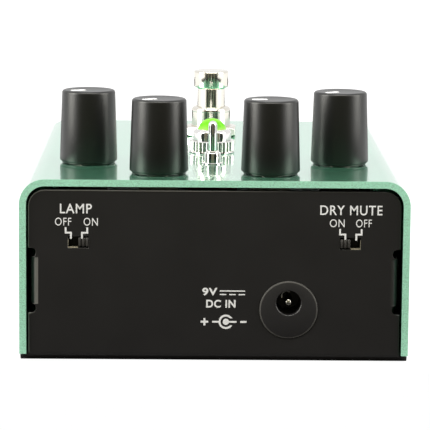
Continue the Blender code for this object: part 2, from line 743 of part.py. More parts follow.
def make_footswitch():
    """Stomp switch: case under the shell, threaded barrel with its nut, and a sprung plunger."""
    nickel = paint("footswitch_nickel", (0.78, 0.75, 0.68), 0.18, 1.0)
    place = (CENTRE_LINE_X, FOOTSWITCH_Y, HUNG_Z - BARREL_FLANGE_HEIGHT)
    rise = TOP_Z + BARREL_RISE - place[2]
    bore = NECK_RADIUS + FIT
    profile = [(bore, rise)]
    profile += arc(BARREL_RADIUS - BARREL_ROUND, rise - BARREL_ROUND, BARREL_ROUND, 90, 0)
    profile += [
        (BARREL_RADIUS, BARREL_FLANGE_HEIGHT),
        (BARREL_FLANGE_RADIUS, BARREL_FLANGE_HEIGHT),
        (BARREL_FLANGE_RADIUS, 0),
        (bore, 0),
    ]
    turned("footswitch_barrel", profile, place, closed=True, material=nickel)
    hexagon(
        "footswitch_nut",
        FOOTSWITCH_NUT_FLATS,
        FOOTSWITCH_NUT_HEIGHT,
        (CENTRE_LINE_X, FOOTSWITCH_Y, TOP_Z + GAP),
        BARREL_RADIUS + FIT,
        material=nickel,
    )
    make_footswitch_plunger(nickel)
    case_top = place[2] - GAP
    make_footswitch_case(case_top)
    make_footswitch_spring(case_top + GAP)


def make_footswitch_plunger(nickel):
    """Cap, neck and stem in one, with its origin at the neck's lower end."""
    neck_low = TOP_Z + BARREL_RISE - NECK_IN_BARREL
    top = TOP_Z + CAP_RISE - neck_low
    cap_low = top - CAP_HEIGHT
    case_top = HUNG_Z - BARREL_FLANGE_HEIGHT - GAP
    stem_low = case_top + GAP + FOOTSWITCH_TRAVEL - neck_low
    profile = [(0, top)]
    profile += arc(CAP_RADIUS - CAP_ROUND, top - CAP_ROUND, CAP_ROUND, 90, 0)
    profile += [
        (CAP_RADIUS, cap_low + GAP),
        (CAP_RADIUS - GAP, cap_low),
        (NECK_RADIUS, cap_low),
        (NECK_RADIUS, 0),
        (STEM_RADIUS, 0),
        (STEM_RADIUS, stem_low),
        (0, stem_low),
    ]
    place = (CENTRE_LINE_X, FOOTSWITCH_Y, neck_low)
    turned("footswitch_plunger", profile, place, material=nickel)


def make_footswitch_case(top):
    """The switch's plastic case with nine solder lugs below."""
    half = FOOTSWITCH_CASE / 2
    low_z = top - FOOTSWITCH_CASE_HEIGHT
    low = (CENTRE_LINE_X - half, FOOTSWITCH_Y - half, low_z)
    high = (CENTRE_LINE_X + half, FOOTSWITCH_Y + half, top)
    blue = paint("switch_blue", (0.03, 0.1, 0.35), 0.5)
    case = block("footswitch_case", low, high, material=blue)
    for row in (-1, 0, 1):
        for column in (-1, 0, 1):
            x, y = CENTRE_LINE_X + column * LUG_PITCH, FOOTSWITCH_Y + row * LUG_PITCH
            place = (x, y, low_z - LUG_LENGTH)
            length = LUG_LENGTH + GAP
            join(case, rod(f"lug_{row}_{column}", LUG_RADIUS, length, place, sides=6))


def make_footswitch_spring(low):
    """A closed-end coil round the plunger's stem, under its neck."""
    high = TOP_Z + BARREL_RISE - NECK_IN_BARREL - GAP - SPRING_WIRE
    low = low + SPRING_WIRE
    curve = bpy.data.curves.new("footswitch_spring", "CURVE")
    curve.dimensions = "3D"
    curve.bevel_depth = SPRING_WIRE
    curve.bevel_resolution = 1
    curve.use_fill_caps = True
    line = curve.splines.new("POLY")
    per_turn = 10
    count = SPRING_TURNS * per_turn
    line.points.add(count)
    for step in range(count + 1):
        angle = 2 * math.pi * step / per_turn
        x, y = SPRING_RADIUS * math.cos(angle), SPRING_RADIUS * math.sin(angle)
        line.points[step].co = (x, y, low + (high - low) * step / count, 1)
    curve.materials.append(paint("spring_steel", (0.5, 0.5, 0.5), 0.3, 1.0))
    coil = bpy.data.objects.new("footswitch_spring", curve)
    coil.location = (CENTRE_LINE_X, FOOTSWITCH_Y, 0)
    PARTS.objects.link(coil)


# Rear panel: power socket and slide switches


def make_power_socket():
    """Barrel socket behind the rear panel, with its face in the round hole and a centre pin."""
    face_z = FLOOR_Z + SOCKET_FACE_Z
    bore_z = face_z + SOCKET_BORE_RAISED
    front = -PANEL_Y - SOCKET_PROUD
    place = (SOCKET_X, front + SOCKET_DEPTH, face_z)
    chamfer = SOCKET_PROUD * 0.8
    profile = (
        (0, SOCKET_DEPTH),
        (SOCKET_FACE_RADIUS - chamfer, SOCKET_DEPTH),
        (SOCKET_FACE_RADIUS, SOCKET_DEPTH - chamfer),
        (SOCKET_FACE_RADIUS, 0),
        (0, 0),
    )
    plastic = paint("socket_plastic", (0.025, 0.024, 0.025), 0.4)
    socket = turned("power_socket", profile, place, TO_REAR, material=plastic)
    half = SOCKET_FACE_RADIUS * 0.9
    low = (SOCKET_X - half, -PANEL_Y + PLATE + GAP, FLOOR_Z + GAP)
    join(socket, block("socket_foot", low, (SOCKET_X + half, place[1] - GAP, bore_z)))
    start = (SOCKET_X, front + SOCKET_BORE_DEPTH, bore_z)
    length = SOCKET_BORE_DEPTH + GAP
    cut(socket, rod("socket_bore", SOCKET_BORE_RADIUS, length, start, TO_REAR))
    radius = SOCKET_PIN_RADIUS
    profile = arc(0, SOCKET_PIN_LENGTH - radius, radius, 90, 0)
    profile += [(radius, 0), (0, 0)]
    start = (SOCKET_X, front + SOCKET_BORE_DEPTH - GAP, bore_z)
    metal = paint("pin_metal", (0.8, 0.78, 0.7), 0.15, 1.0)
    turned("power_socket_pin", profile, start, TO_REAR, 16, material=metal)


def slide_x(side):
    """Centre of a slide switch's window."""
    return side * (HALF_X - SLIDE_FROM_SIDE) - (SLIDE_SKEW if side > 0 else 0)


def make_slide_switch(name, side, plastic, metal):
    """A slide switch hung under the board: a slotted case and a ribbed slider in the window."""
    x = slide_x(side)
    width, depth, height = SLIDE_CASE
    front = -PANEL_Y + PLATE + GAP
    top = BOARD_LOW - GAP
    case = block(
        name + "_case",
        (x - width / 2, front, top - height),
        (x + width / 2, front + depth, top),
        material=metal,
    )
    half_x, half_z = SLIDE_WINDOW[0] / 2, SLIDE_WINDOW[1] / 2
    nub_front = -PANEL_Y - SLIDE_NUB_PROUD
    nub_back = nub_front + SLIDE_NUB_DEPTH
    low = (x - half_x, front - GAP, SLIDE_Z - half_z)
    cut(case, block(name + "_slot", low, (x + half_x, nub_back + GAP, SLIDE_Z + half_z)))
    nub_x, nub_z = SLIDE_NUB
    rest = x - side * (half_x - SLIDE_END_GAP - nub_x / 2)
    low = (rest - nub_x / 2, nub_front, SLIDE_Z - nub_z / 2)
    high = (rest + nub_x / 2, nub_back, SLIDE_Z + nub_z / 2)
    middle = (rest, nub_front, SLIDE_Z)
    slider = block(name + "_slider", low, high, middle, plastic)
    pitch = nub_x / (2 * RIB_COUNT - 1)
    for gap_number in range(RIB_COUNT - 1):
        start = low[0] + pitch * (2 * gap_number + 1)
        groove_low = (start, nub_front - GAP, SLIDE_Z - nub_z)
        groove_high = (start + pitch, nub_front + RIB_DEPTH, SLIDE_Z + nub_z)
        cut(slider, block(f"{name}_groove_{gap_number}", groove_low, groove_high))


def make_slide_switches():
    """Two slide switches, one near each side of the rear panel."""
    plastic = paint("slider_plastic", (0.05, 0.045, 0.045), 0.4)
    metal = paint("slide_case_metal", (0.3, 0.3, 0.3), 0.4, 0.8)
    make_slide_switch("lamp_switch", -1, plastic, metal)
    make_slide_switch("mute_switch", 1, plastic, metal)


# Phone jacks


def make_jack(name, side, turn, plastic, metal):
    """A phone jack: moulded case inside, threaded bushing through the side, washer and nut."""
    length, depth, height = JACK_CASE
    outer = INNER_X - GAP
    xs = sorted((side * outer, side * (outer - length)))
    low = (xs[0], JACK_Y - depth / 2, JACK_Z - height / 2)
    high = (xs[1], JACK_Y + depth / 2, JACK_Z + height / 2)
    jack = block(name + "_jack", low, high, material=plastic)
    start = (side * (outer - GAP), JACK_Y, JACK_Z)
    end = HALF_X + JACK_BUSH_RISE
    bush = rod(name + "_bush", JACK_BUSH_RADIUS, end - outer + GAP, start, turn)
    join(jack, bush)
    start = (side * (end - JACK_BORE_DEPTH), JACK_Y, JACK_Z)
    cut(jack, rod(name + "_bore", JACK_BORE_RADIUS, JACK_BORE_DEPTH + GAP, start, turn))
    bore = JACK_BUSH_RADIUS + FIT
    profile = (
        (JACK_WASHER_RADIUS, JACK_WASHER_HEIGHT),
        (JACK_WASHER_RADIUS, 0),
        (bore, 0),
        (bore, JACK_WASHER_HEIGHT),
    )
    place = (side * (HALF_X + GAP), JACK_Y, JACK_Z)
    turned(name + "_jack_washer", profile, place, turn, COARSE, True, metal)
    lift = JACK_WASHER_HEIGHT + 4 * GAP / 3
    place = (side * (HALF_X + lift), JACK_Y, JACK_Z)
    hexagon(name + "_jack_nut", JACK_NUT_FLATS, JACK_NUT_HEIGHT, place, bore, turn, metal)


def make_jacks():
    """The input jack on the player's right and the output jack on the player's left."""
    plastic = paint("jack_plastic", (0.03, 0.03, 0.03), 0.5)
    metal = paint("jack_nickel", (0.78, 0.76, 0.7), 0.2, 1.0)
    make_jack("input", -1, TO_LEFT, plastic, metal)
    make_jack("output", 1, TO_RIGHT, plastic, metal)


# Inside


def make_board():
    """The circuit board, held by the potentiometers, with its main chip and two capacitors."""
    half_x = POST_PLACES[-1][0] - POST_RADIUS - BOARD_FROM_POSTS
    front = FOOTSWITCH_Y - FOOTSWITCH_CASE / 2 - BOARD_FROM_FOOTSWITCH
    low = (-half_x, -HALF_Y + BOARD_FROM_REAR, BOARD_LOW)
    green = paint("board_green", (0.01, 0.12, 0.05), 0.4)
    board = block("main_circuit_board", low, (half_x, front, BOARD_TOP), material=green)
    half = CHIP_SIZE / 2
    middle = (TOGGLE_Y + JEWEL_Y) / 2
    low = (-half, middle - half, BOARD_LOW - CHIP_HEIGHT)
    join(board, block("main_chip", low, (half, middle + half, BOARD_LOW + GAP)))
    for side in (-1, 1):
        place = (side * CAPACITOR_X, middle, BOARD_LOW - CAPACITOR_HEIGHT)
        length = CAPACITOR_HEIGHT + GAP
        join(board, rod(f"capacitor_{side}", CAPACITOR_RADIUS, length, place, sides=12))


def make_battery_tray():
    """A moulded box open to the front, with two ears that hold the door's hinge pin."""
    wall = TRAY_WALL
    tray = block(
        "battery_tray",
        (-TRAY_OUTER_X, TRAY_BACK - wall, TRAY_FLOOR - wall),
        (TRAY_OUTER_X, TRAY_FRONT, TRAY_CEILING + wall),
        material=paint("tray_plastic", (0.04, 0.04, 0.04), 0.5),
    )
    low = (-TRAY_INNER_X, TRAY_BACK, TRAY_FLOOR)
    high = (TRAY_INNER_X, TRAY_FRONT + wall, TRAY_CEILING)
    cut(tray, block("battery_room", low, high))
    for side in (-1, 1):
        xs = ear_span(side)
        slim, reach = GAP / 2, 0.8 * KNUCKLE_RADIUS
        low = (xs[0] + slim, TRAY_FRONT - GAP, HINGE_Z - reach)
        high = (xs[1] - slim, HINGE_Y, HINGE_Z + reach)
        join(tray, block(f"ear_{side}", low, high))
        start = (xs[0], HINGE_Y, HINGE_Z)
        join(tray, rod(f"ear_end_{side}", KNUCKLE_RADIUS, EAR_WIDTH, start, TO_RIGHT))
    start = (-TRAY_OUTER_X, HINGE_Y, HINGE_Z)
    cut(tray, rod("ear_bore", PIN_RADIUS + FIT, 2 * TRAY_OUTER_X, start, TO_RIGHT))


def ear_span(side):
    """Where the tray's ear stands along the hinge, low x first."""
    inner = side * (DOOR_HALF_X - EAR_FROM_EDGE - EAR_WIDTH)
    outer = side * (DOOR_HALF_X - EAR_FROM_EDGE)
    return sorted((inner, outer))


def make_battery_door():
    """The door with its hinge knuckle below, a finger scoop above, and two magnet pockets."""
    hinge = (0, HINGE_Y, HINGE_Z)
    inner_y = PANEL_Y - DOOR_THICKNESS
    low, high = (-DOOR_HALF_X, inner_y, HINGE_Z), (DOOR_HALF_X, PANEL_Y, DOOR_TOP)
    door = block("battery_door", low, high, hinge, paint("door_black", (0.02, 0.019, 0.019), 0.4))
    start = (-DOOR_HALF_X, HINGE_Y, HINGE_Z)
    join(door, rod("knuckle", KNUCKLE_RADIUS, 2 * DOOR_HALF_X, start, TO_RIGHT))
    for side in (-1, 1):
        xs = ear_span(side)
        room = KNUCKLE_RADIUS + GAP
        low = (xs[0] - GAP, HINGE_Y - 2 * room, HINGE_Z - 2 * room)
        high = (xs[1] + GAP, PANEL_Y + room, HINGE_Z + room)
        cut(door, block(f"ear_room_{side}", low, high))
        place = (side * MAGNET_X, inner_y + MAGNET_HEIGHT + GAP, DOOR_TOP - MAGNET_BELOW_TOP)
        pocket = MAGNET_RADIUS + GAP
        cut(door, rod(f"pocket_{side}", pocket, MAGNET_HEIGHT + 2 * GAP, place, TO_REAR))
    margin = 2 * DOOR_HALF_X + 2 * GAP
    start = (-DOOR_HALF_X - GAP, HINGE_Y, HINGE_Z)
    cut(door, rod("door_bore", PIN_RADIUS + FIT, margin, start, TO_RIGHT))
    start = (0, PANEL_Y + GAP, DOOR_TOP + FINGER_RADIUS - FINGER_DEPTH)
    cut(door, rod("scoop", FINGER_RADIUS, GAP + DOOR_THICKNESS / 2, start, TO_REAR, ROUND))
    metal = paint("magnet_nickel", (0.7, 0.69, 0.67), 0.25, 1.0)
    for number, side in enumerate((-1, 1), 1):
        z = DOOR_TOP - MAGNET_BELOW_TOP
        place = (side * MAGNET_X, inner_y + MAGNET_HEIGHT, z)
        height = MAGNET_HEIGHT - GAP
        rod(f"door_magnet_{number}", MAGNET_RADIUS, height, place, TO_REAR, material=metal)


def make_door_fittings():
    """The hinge pin, and the steel strike plate that the door's magnets close on."""
    half = DOOR_HALF_X - PIN_SHORT
    steel = paint("pin_steel", (0.6, 0.6, 0.6), 0.3, 1.0)
    start = (-half, HINGE_Y, HINGE_Z)
    rod("door_hinge_pin", PIN_RADIUS, 2 * half, start, TO_RIGHT, material=steel)
    front = PANEL_Y - DOOR_THICKNESS - GAP
    low = (-STRIKE_HALF_WIDTH, front - STRIKE_THICKNESS, OPENING_TOP - STRIKE_DROP)
    high = (STRIKE_HALF_WIDTH, front, PANEL_TOP)
    plate_paint = paint("strike_steel", (0.55, 0.55, 0.55), 0.3, 1.0)
    plate = block("door_strike_plate", low, high, material=plate_paint)
    low = (-STRIKE_HALF_WIDTH, front - GAP, OPENING_TOP + GAP)
    high = (STRIKE_HALF_WIDTH, PANEL_Y - PLATE - GAP, PANEL_TOP)
    join(plate, block("strike_lip", low, high))


def make_battery_contacts():
    """The contact block at one end of the tray, with its two terminals."""
    block_x = -TRAY_INNER_X + GAP
    end_x = block_x + CONTACT_BLOCK - GAP
    block(
        "battery_contact_block",
        (block_x, TRAY_BACK + GAP, TRAY_FLOOR + GAP),
        (end_x, TRAY_FRONT - GAP, TRAY_CEILING - GAP),
        material=paint("contact_plastic", (0.05, 0.05, 0.05), 0.5),
    )
    metal = paint("contact_nickel", (0.75, 0.73, 0.68), 0.25, 1.0)
    y = TRAY_BACK + BATTERY[1] / 2
    middle = TRAY_FLOOR + BATTERY[2] / 2
    height = CONTACT_RISE - GAP
    for name, offset, radius in (("plus", 0.5, CONTACT_RADIUS[0]), ("minus", -0.5, CONTACT_RADIUS[1])):
        place = (end_x + GAP, y, middle + offset * CONTACT_PITCH)
        rod(f"battery_contact_{name}", radius, height, place, TO_RIGHT, 16, material=metal)


def main():
    make_top_shell()
    make_base_chassis()
    make_screws()
    make_feet()
    make_knobs()
    make_toggle()
    make_jewel()
    make_footswitch()
    make_power_socket()
    make_slide_switches()
    make_jacks()
    make_board()
    make_battery_tray()
    make_battery_door()
    make_door_fittings()
    make_battery_contacts()


clear_scene()
PARTS = make_collection("guitar_effects_pedal")
CUTTERS = make_collection("cutters")
main()
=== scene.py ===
"""Guitar effects pedal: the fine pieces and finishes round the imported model, as an add-on."""

import json
import math

import bpy
from mathutils import Matrix, Vector

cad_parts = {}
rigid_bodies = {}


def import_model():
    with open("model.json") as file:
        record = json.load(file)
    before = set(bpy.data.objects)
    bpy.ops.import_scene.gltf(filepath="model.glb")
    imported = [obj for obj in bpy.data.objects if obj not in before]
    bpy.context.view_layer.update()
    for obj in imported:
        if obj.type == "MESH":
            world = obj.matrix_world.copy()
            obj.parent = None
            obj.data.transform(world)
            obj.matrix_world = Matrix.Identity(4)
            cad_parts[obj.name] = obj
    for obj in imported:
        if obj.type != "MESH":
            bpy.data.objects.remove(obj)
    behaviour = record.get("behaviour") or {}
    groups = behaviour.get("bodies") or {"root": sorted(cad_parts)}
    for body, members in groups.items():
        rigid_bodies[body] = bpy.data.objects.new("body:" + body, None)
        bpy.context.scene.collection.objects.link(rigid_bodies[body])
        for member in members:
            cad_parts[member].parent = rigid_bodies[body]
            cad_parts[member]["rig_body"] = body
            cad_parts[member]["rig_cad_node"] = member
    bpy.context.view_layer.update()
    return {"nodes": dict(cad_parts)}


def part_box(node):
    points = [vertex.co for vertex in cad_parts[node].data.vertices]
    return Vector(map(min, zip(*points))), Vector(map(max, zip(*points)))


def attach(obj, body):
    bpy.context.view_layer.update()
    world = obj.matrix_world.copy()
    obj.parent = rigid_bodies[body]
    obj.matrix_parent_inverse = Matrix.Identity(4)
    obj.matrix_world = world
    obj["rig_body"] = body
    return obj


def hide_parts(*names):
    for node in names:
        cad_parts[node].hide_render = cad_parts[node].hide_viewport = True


bl_info = {
    "name": "Effects pedal looks",
    "version": (1, 0, 0),
    "blender": (4, 5, 0),
    "location": "3D View > Sidebar > Pedal",
    "description": "Builds the fine pieces and finishes of a compact effects pedal",
    "category": "Object",
}

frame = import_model()
MM = 0.001
AXIS = 0.00001  # radius of a turned piece where it meets its axis
HOME = "enclosure"
TO_REAR = (math.radians(90), 0, 0)
TO_RIGHT = (0, math.radians(90), 0)
TO_LEFT = (0, math.radians(-90), 0)


def length(name, description, default):
    return bpy.props.FloatProperty(
        name=name, description=description, default=default, unit="LENGTH")


def colour(name, description, default):
    return bpy.props.FloatVectorProperty(
        name=name, description=description, default=default, subtype="COLOR")


class PedalSizes(bpy.types.PropertyGroup):
    """Sizes of the fine detail."""

    sawn_edge: length(
        "Sawn edge", "Softening of the shell's cut edges", 0.15 * MM)
    folded_edge: length(
        "Folded edge", "Rounding of the sheet steel's edges", 0.34 * MM)
    knob_edge: length(
        "Knob edge", "Rounding round a knob's top", 0.75 * MM)
    thread_pitch: length(
        "Thread pitch", "Pitch of the footswitch and jack threads", 0.34 * MM)
    thread_depth: length(
        "Thread depth", "Depth of those threads", 0.032 * MM)
    print_height: length(
        "Print thickness", "How far the printing stands on the panel", 0.03 * MM)
    flutes: bpy.props.IntProperty(
        name="Flutes", description="Number of flutes round the lamp's bezel", default=30)


class PedalColours(bpy.types.PropertyGroup):
    """Colours of the main finishes."""

    anodised: colour(
        "Anodised", "Green of the shell", (0.16, 0.5, 0.32))
    sawn: colour(
        "Sawn", "Mint of the shell's cut edges", (0.46, 0.92, 0.68))
    coat: colour(
        "Coat", "Black of the folded base", (0.0125, 0.0117, 0.0122))
    knob: colour(
        "Knob", "Charcoal of the knobs", (0.0046, 0.0045, 0.0042))
    ink: colour(
        "Ink", "White of the printing and the pointers", (0.84, 0.84, 0.86))
    jewel: colour(
        "Jewel", "Green of the lit lens", (0.12, 0.72, 0.0))


# Shader arithmetic


class Signal:
    """A shader socket that can be used in arithmetic."""

    def __init__(self, finish, socket):
        self.finish = finish
        self.socket = socket

    def math(self, operation, first, second=0.0):
        return self.finish.node("ShaderNodeMath", {"operation": operation}, {0: first, 1: second})

    def __add__(self, other):
        return self.math("ADD", self, other)

    __radd__ = __add__

    def __sub__(self, other):
        return self.math("SUBTRACT", self, other)

    def __rsub__(self, other):
        return self.math("SUBTRACT", other, self)

    def __mul__(self, other):
        return self.math("MULTIPLY", self, other)

    __rmul__ = __mul__

    def between(self, low, high):
        """0 below low, 1 above high, and a smooth step from one to the other."""
        settings = {"interpolation_type": "SMOOTHSTEP"}
        return self.finish.node(
            "ShaderNodeMapRange", settings, {0: self, 1: low, 2: high, 3: 0.0, 4: 1.0})


class Finish:
    """A Principled material whose nodes are written as expressions."""

    def __init__(self, name, colour, roughness, metallic=0.0, **constants):
        self.material = bpy.data.materials.new(name)
        self.material.use_nodes = True
        self.tree = self.material.node_tree
        self.shader = self.tree.nodes["Principled BSDF"]
        self.feed(self.shader.inputs["Base Color"], colour)
        self.feed(self.shader.inputs["Roughness"], roughness)
        self.feed(self.shader.inputs["Metallic"], metallic)
        for label, value in constants.items():
            self.feed(self.shader.inputs[label.replace("_", " ")], value)

    def feed(self, socket, value):
        """Links a signal to a socket, or sets the socket's own value."""
        if isinstance(value, Signal):
            self.tree.links.new(value.socket, socket)
        elif socket.type == "RGBA" and len(value) == 3:
            socket.default_value = (*value, 1.0)
        else:
            socket.default_value = value

    def node(self, kind, settings=None, inputs=None, output=0):
        """One node: its settings first, then the values or links of its sockets."""
        made = self.tree.nodes.new(kind)
        for label, value in (settings or {}).items():
            setattr(made, label, value)
        for key, value in (inputs or {}).items():
            self.feed(made.inputs[key], value)
        return Signal(self, made.outputs[output])

    def place(self, stretch=(1, 1, 1), turn=(0, 0, 0)):
        """Object coordinates, turned and then scaled along each axis."""
        at = self.node("ShaderNodeTexCoord", output="Object")
        turned = self.node("ShaderNodeMapping", {}, {"Vector": at, "Rotation": turn})
        return self.node("ShaderNodeMapping", {}, {"Vector": turned, "Scale": stretch})

    def noise(self, stretch, detail=2.0, turn=(0, 0, 0)):
        """Noise with its number of grains per metre along each axis."""
        inputs = {"Vector": self.place(stretch, turn), "Scale": 1.0, "Detail": detail}
        return self.node("ShaderNodeTexNoise", {}, inputs)

    def mix(self, share, first, second):
        """A colour between two others."""
        settings = {"data_type": "RGBA"}
        return self.node("ShaderNodeMix", settings, {0: share, 6: first, 7: second}, output=2)

    def bump(self, height, strength, distance):
        """Feeds a height to the shader's normal."""
        inputs = {"Height": height, "Strength": strength, "Distance": distance}
        self.feed(self.shader.inputs["Normal"], self.node("ShaderNodeBump", {}, inputs))

    def tint(self, value):
        self.feed(self.shader.inputs["Base Color"], value)

    def rough(self, value):
        self.feed(self.shader.inputs["Roughness"], value)


def even(grains):
    """The same number of grains along each axis."""
    return (grains, grains, grains)


def shade(colour, share):
    """A colour made lighter or darker."""
    return tuple(min(1.0, channel * share) for channel in colour)


def anodised_green():
    """Anodised aluminium, finely brushed from side to side."""
    green = bpy.context.scene.pedal_colours.anodised
    finish = Finish("anodised_green", green, 0.25, 0.75, Coat_Weight=1.0, Coat_Roughness=0.06)
    brush = finish.noise((90, 5200, 90), 3.0)
    cloud = finish.noise(even(55), 2.0)
    finish.tint(finish.mix(brush * 0.7 + cloud * 0.3, shade(green, 0.86), shade(green, 1.14)))
    finish.rough(0.2 + brush * 0.1)
    finish.bump(brush, 0.6, 0.02 * MM)
    return finish.material


def sawn_mint():
    """The shell's cut edges: bright anodised metal with the slanting marks of the saw."""
    mint = bpy.context.scene.pedal_colours.sawn
    finish = Finish("sawn_mint", mint, 0.5, 0.35)
    slant = (0, math.radians(52), 0)
    fine = finish.noise((9000, 900, 2400), 3.0, slant)
    nicks = finish.noise((6400, 400, 2000), 2.0, slant).between(0.52, 0.66)
    marked = finish.mix(fine.between(0.3, 0.7), shade(mint, 0.86), shade(mint, 1.14))
    finish.tint(finish.mix(nicks * 0.6, marked, shade(mint, 0.5)))
    finish.rough(0.42 + fine * 0.2)
    finish.bump(fine - nicks * 0.8, 0.45, 0.05 * MM)
    return finish.material


def black_coat():
    """Satin black powder coat with its fine grain."""
    black = bpy.context.scene.pedal_colours.coat
    finish = Finish("black_coat", black, 0.4, Specular_IOR_Level=0.6)
    grain = finish.noise(even(4200), 2.0)
    cloud = finish.noise(even(80), 2.0)
    finish.tint(finish.mix(cloud, shade(black, 0.85), shade(black, 1.2)))
    finish.rough(0.31 + cloud * 0.06 + grain * 0.06)
    finish.bump(grain, 0.22, 0.02 * MM)
    return finish.material


def moulded_charcoal():
    """The knobs' satin plastic, finely spark-textured, with lighter scuffs."""
    black = bpy.context.scene.pedal_colours.knob
    finish = Finish("moulded_charcoal", black, 0.35)
    grain = finish.noise(even(3000), 3.0)
    wear = finish.noise(even(420), 4.0).between(0.56, 0.8)
    finish.tint(finish.mix(wear * 0.6, black, shade(black, 2.4)))
    finish.rough(0.28 + grain * 0.12)
    finish.bump(grain, 0.7, 0.03 * MM)
    return finish.material


def coat_rim():
    """A painted highlight on the rear panel's rounded edge: pale on the left, growing darker
    towards the right where the highlight fades.
    """
    # Pale colour of the painted highlight on the left, and the dark colour it fades to on the
    # right.
    thin, thick = (0.15, 0.145, 0.137), (0.02, 0.019, 0.018)
    finish = Finish("coat_rim", thin, 0.4)
    at = finish.node("ShaderNodeSeparateXYZ", {}, {"Vector": finish.place()}, output="X")
    finish.tint(finish.mix(at.between(-10 * MM, 25 * MM), thin, thick))
    return finish.material


def moulded_plastic(name, colour, roughness):
    """Moulded plastic with a faint grain."""
    finish = Finish(name, colour, roughness)
    grain = finish.noise(even(2600), 2.0)
    finish.tint(finish.mix(grain, shade(colour, 0.85), shade(colour, 1.2)))
    finish.rough(roughness - 0.04 + grain * 0.08)
    finish.bump(grain, 0.15, 0.02 * MM)
    return finish.material


def plated(name, colour, roughness):
    """Bright plating: nearly a mirror, with faint polishing marks, a few dull spots, and painted
    shade darkening it where it turns away from the view.
    """
    finish = Finish(name, colour, roughness, 1.0, Specular_Tint=shade(colour, 0.35))
    polish = finish.noise((300, 300, 3800), 2.0)
    dull = finish.noise(even(700), 3.0).between(0.58, 0.75)
    # Painted shade: the colour darkens towards the outline, where the surface turns away from the
    # view.
    grazing_painted_shade = finish.node("ShaderNodeLayerWeight", {}, {"Blend": 0.5}, output="Facing")
    worn = finish.mix(dull * 0.4, colour, shade(colour, 0.8))
    finish.tint(finish.mix(grazing_painted_shade.between(0.5, 0.8) * 0.85, worn, shade(colour, 0.3)))
    finish.rough(roughness + polish * 0.05 + dull * 0.06)
    finish.bump(polish, 0.04, 0.01 * MM)
    return finish.material


def dull_metal():
    """Zinc-plated steel of the hidden fittings."""
    finish = Finish("dull_metal", (0.5, 0.49, 0.46), 0.35, 1.0)
    cloud = finish.noise(even(300), 4.0)
    finish.tint(finish.mix(cloud, (0.4, 0.39, 0.36), (0.6, 0.59, 0.57)))
    finish.rough(0.28 + cloud * 0.2)
    return finish.material


def foot_rubber():
    """Matte black rubber with a dusty bloom."""
    finish = Finish("foot_rubber", (0.02, 0.02, 0.02), 0.8)
    dust = finish.noise(even(900), 4.0)
    finish.tint(finish.mix(dust.between(0.45, 0.8), (0.016, 0.016, 0.016), (0.06, 0.058, 0.055)))
    finish.bump(dust, 0.3, 0.05 * MM)
    return finish.material


def printed_ink(name, colour):
    """Opaque ink with slightly uneven cover."""
    finish = Finish(name, colour, 0.5)
    cover = finish.noise(even(1500), 3.0)
    finish.tint(finish.mix(cover, shade(colour, 0.9), shade(colour, 1.08)))
    finish.rough(0.45 + cover * 0.1)
    return finish.material


def lit_jewel():
    """Green cast lens lit from below, paler at its foot and its rim."""
    green = bpy.context.scene.pedal_colours.jewel
    low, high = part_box("jewel_lens")
    finish = Finish("lit_jewel", shade(green, 0.3), 0.35, Specular_IOR_Level=0.15)
    at = finish.node("ShaderNodeTexCoord", output="Object")
    height = finish.node("ShaderNodeSeparateXYZ", {}, {0: at}, output="Z")
    rim = low.z + 0.42 * (high.z - low.z)
    foot = 1.0 - height.between(rim, rim + 1.7 * MM)
    crown = height.between(rim + 1.2 * MM, high.z)
    cells = finish.noise(even(520), 1.0).between(0.35, 0.65)
    body = finish.mix(cells, (0.08, 0.42, 0.0), (0.3, 1.0, 0.005))
    pale = finish.mix(crown * 0.75, body, (0.5, 1.0, 0.08))
    glow = finish.mix(foot * 0.9, pale, (0.8, 0.95, 0.3))
    finish.feed(finish.shader.inputs["Emission Color"], glow)
    finish.shader.inputs["Emission Strength"].default_value = 0.66
    return finish.material


def circuit_board():
    """Green solder mask with a pattern of tracks under it."""
    finish = Finish("circuit_board", (0.01, 0.1, 0.04), 0.35)
    tracks = finish.noise((420, 90, 420), 0.0).between(0.5, 0.53)
    finish.tint(finish.mix(tracks, (0.006, 0.07, 0.025), (0.02, 0.2, 0.08)))
    finish.bump(tracks, 0.3, 0.03 * MM)
    return finish.material


def blued_steel():
    """Blackened screws with their edges worn bright."""
    finish = Finish("blued_steel", (0.05, 0.05, 0.05), 0.35, 0.9)
    wear = finish.noise(even(1300), 3.0).between(0.55, 0.75)
    finish.tint(finish.mix(wear, (0.03, 0.03, 0.032), (0.13, 0.12, 0.11)))
    finish.rough(0.3 + wear * 0.15)
    return finish.material


def pale_floor():
    """A white floor that glows evenly, so that almost no shadow shows on it."""
    finish = Finish("pale_floor", (0.1, 0.1, 0.1), 0.9)
    finish.shader.inputs["Emission Color"].default_value = (1, 1, 1, 1)
    finish.shader.inputs["Emission Strength"].default_value = 1.0
    return finish.material


PLASTICS = {  # colour and roughness of each
    "black_plastic": ((0.016, 0.0155, 0.016), 0.42),
    "socket_black": ((0.019, 0.018, 0.0188), 0.38),
    "slider_black": ((0.045, 0.042, 0.04), 0.35),
    "lamp_epoxy": ((0.5, 0.8, 0.4), 0.15),
    "switch_red": ((0.4, 0.04, 0.03), 0.4),
    "switch_blue": ((0.02, 0.07, 0.3), 0.4),
    # Lighter plastic for the painted highlight round the power socket's rim.
    "socket_rim": ((0.08, 0.077, 0.074), 0.35),
    # Pale colour of the painted highlight at the switch windows' edges.
    "tin_edge": ((0.3, 0.27, 0.2), 0.45),
    # Near-black plastic standing in for the plated switch case in shade: painted shade.
    "switch_frame": ((0.02, 0.019, 0.018), 0.4),
}

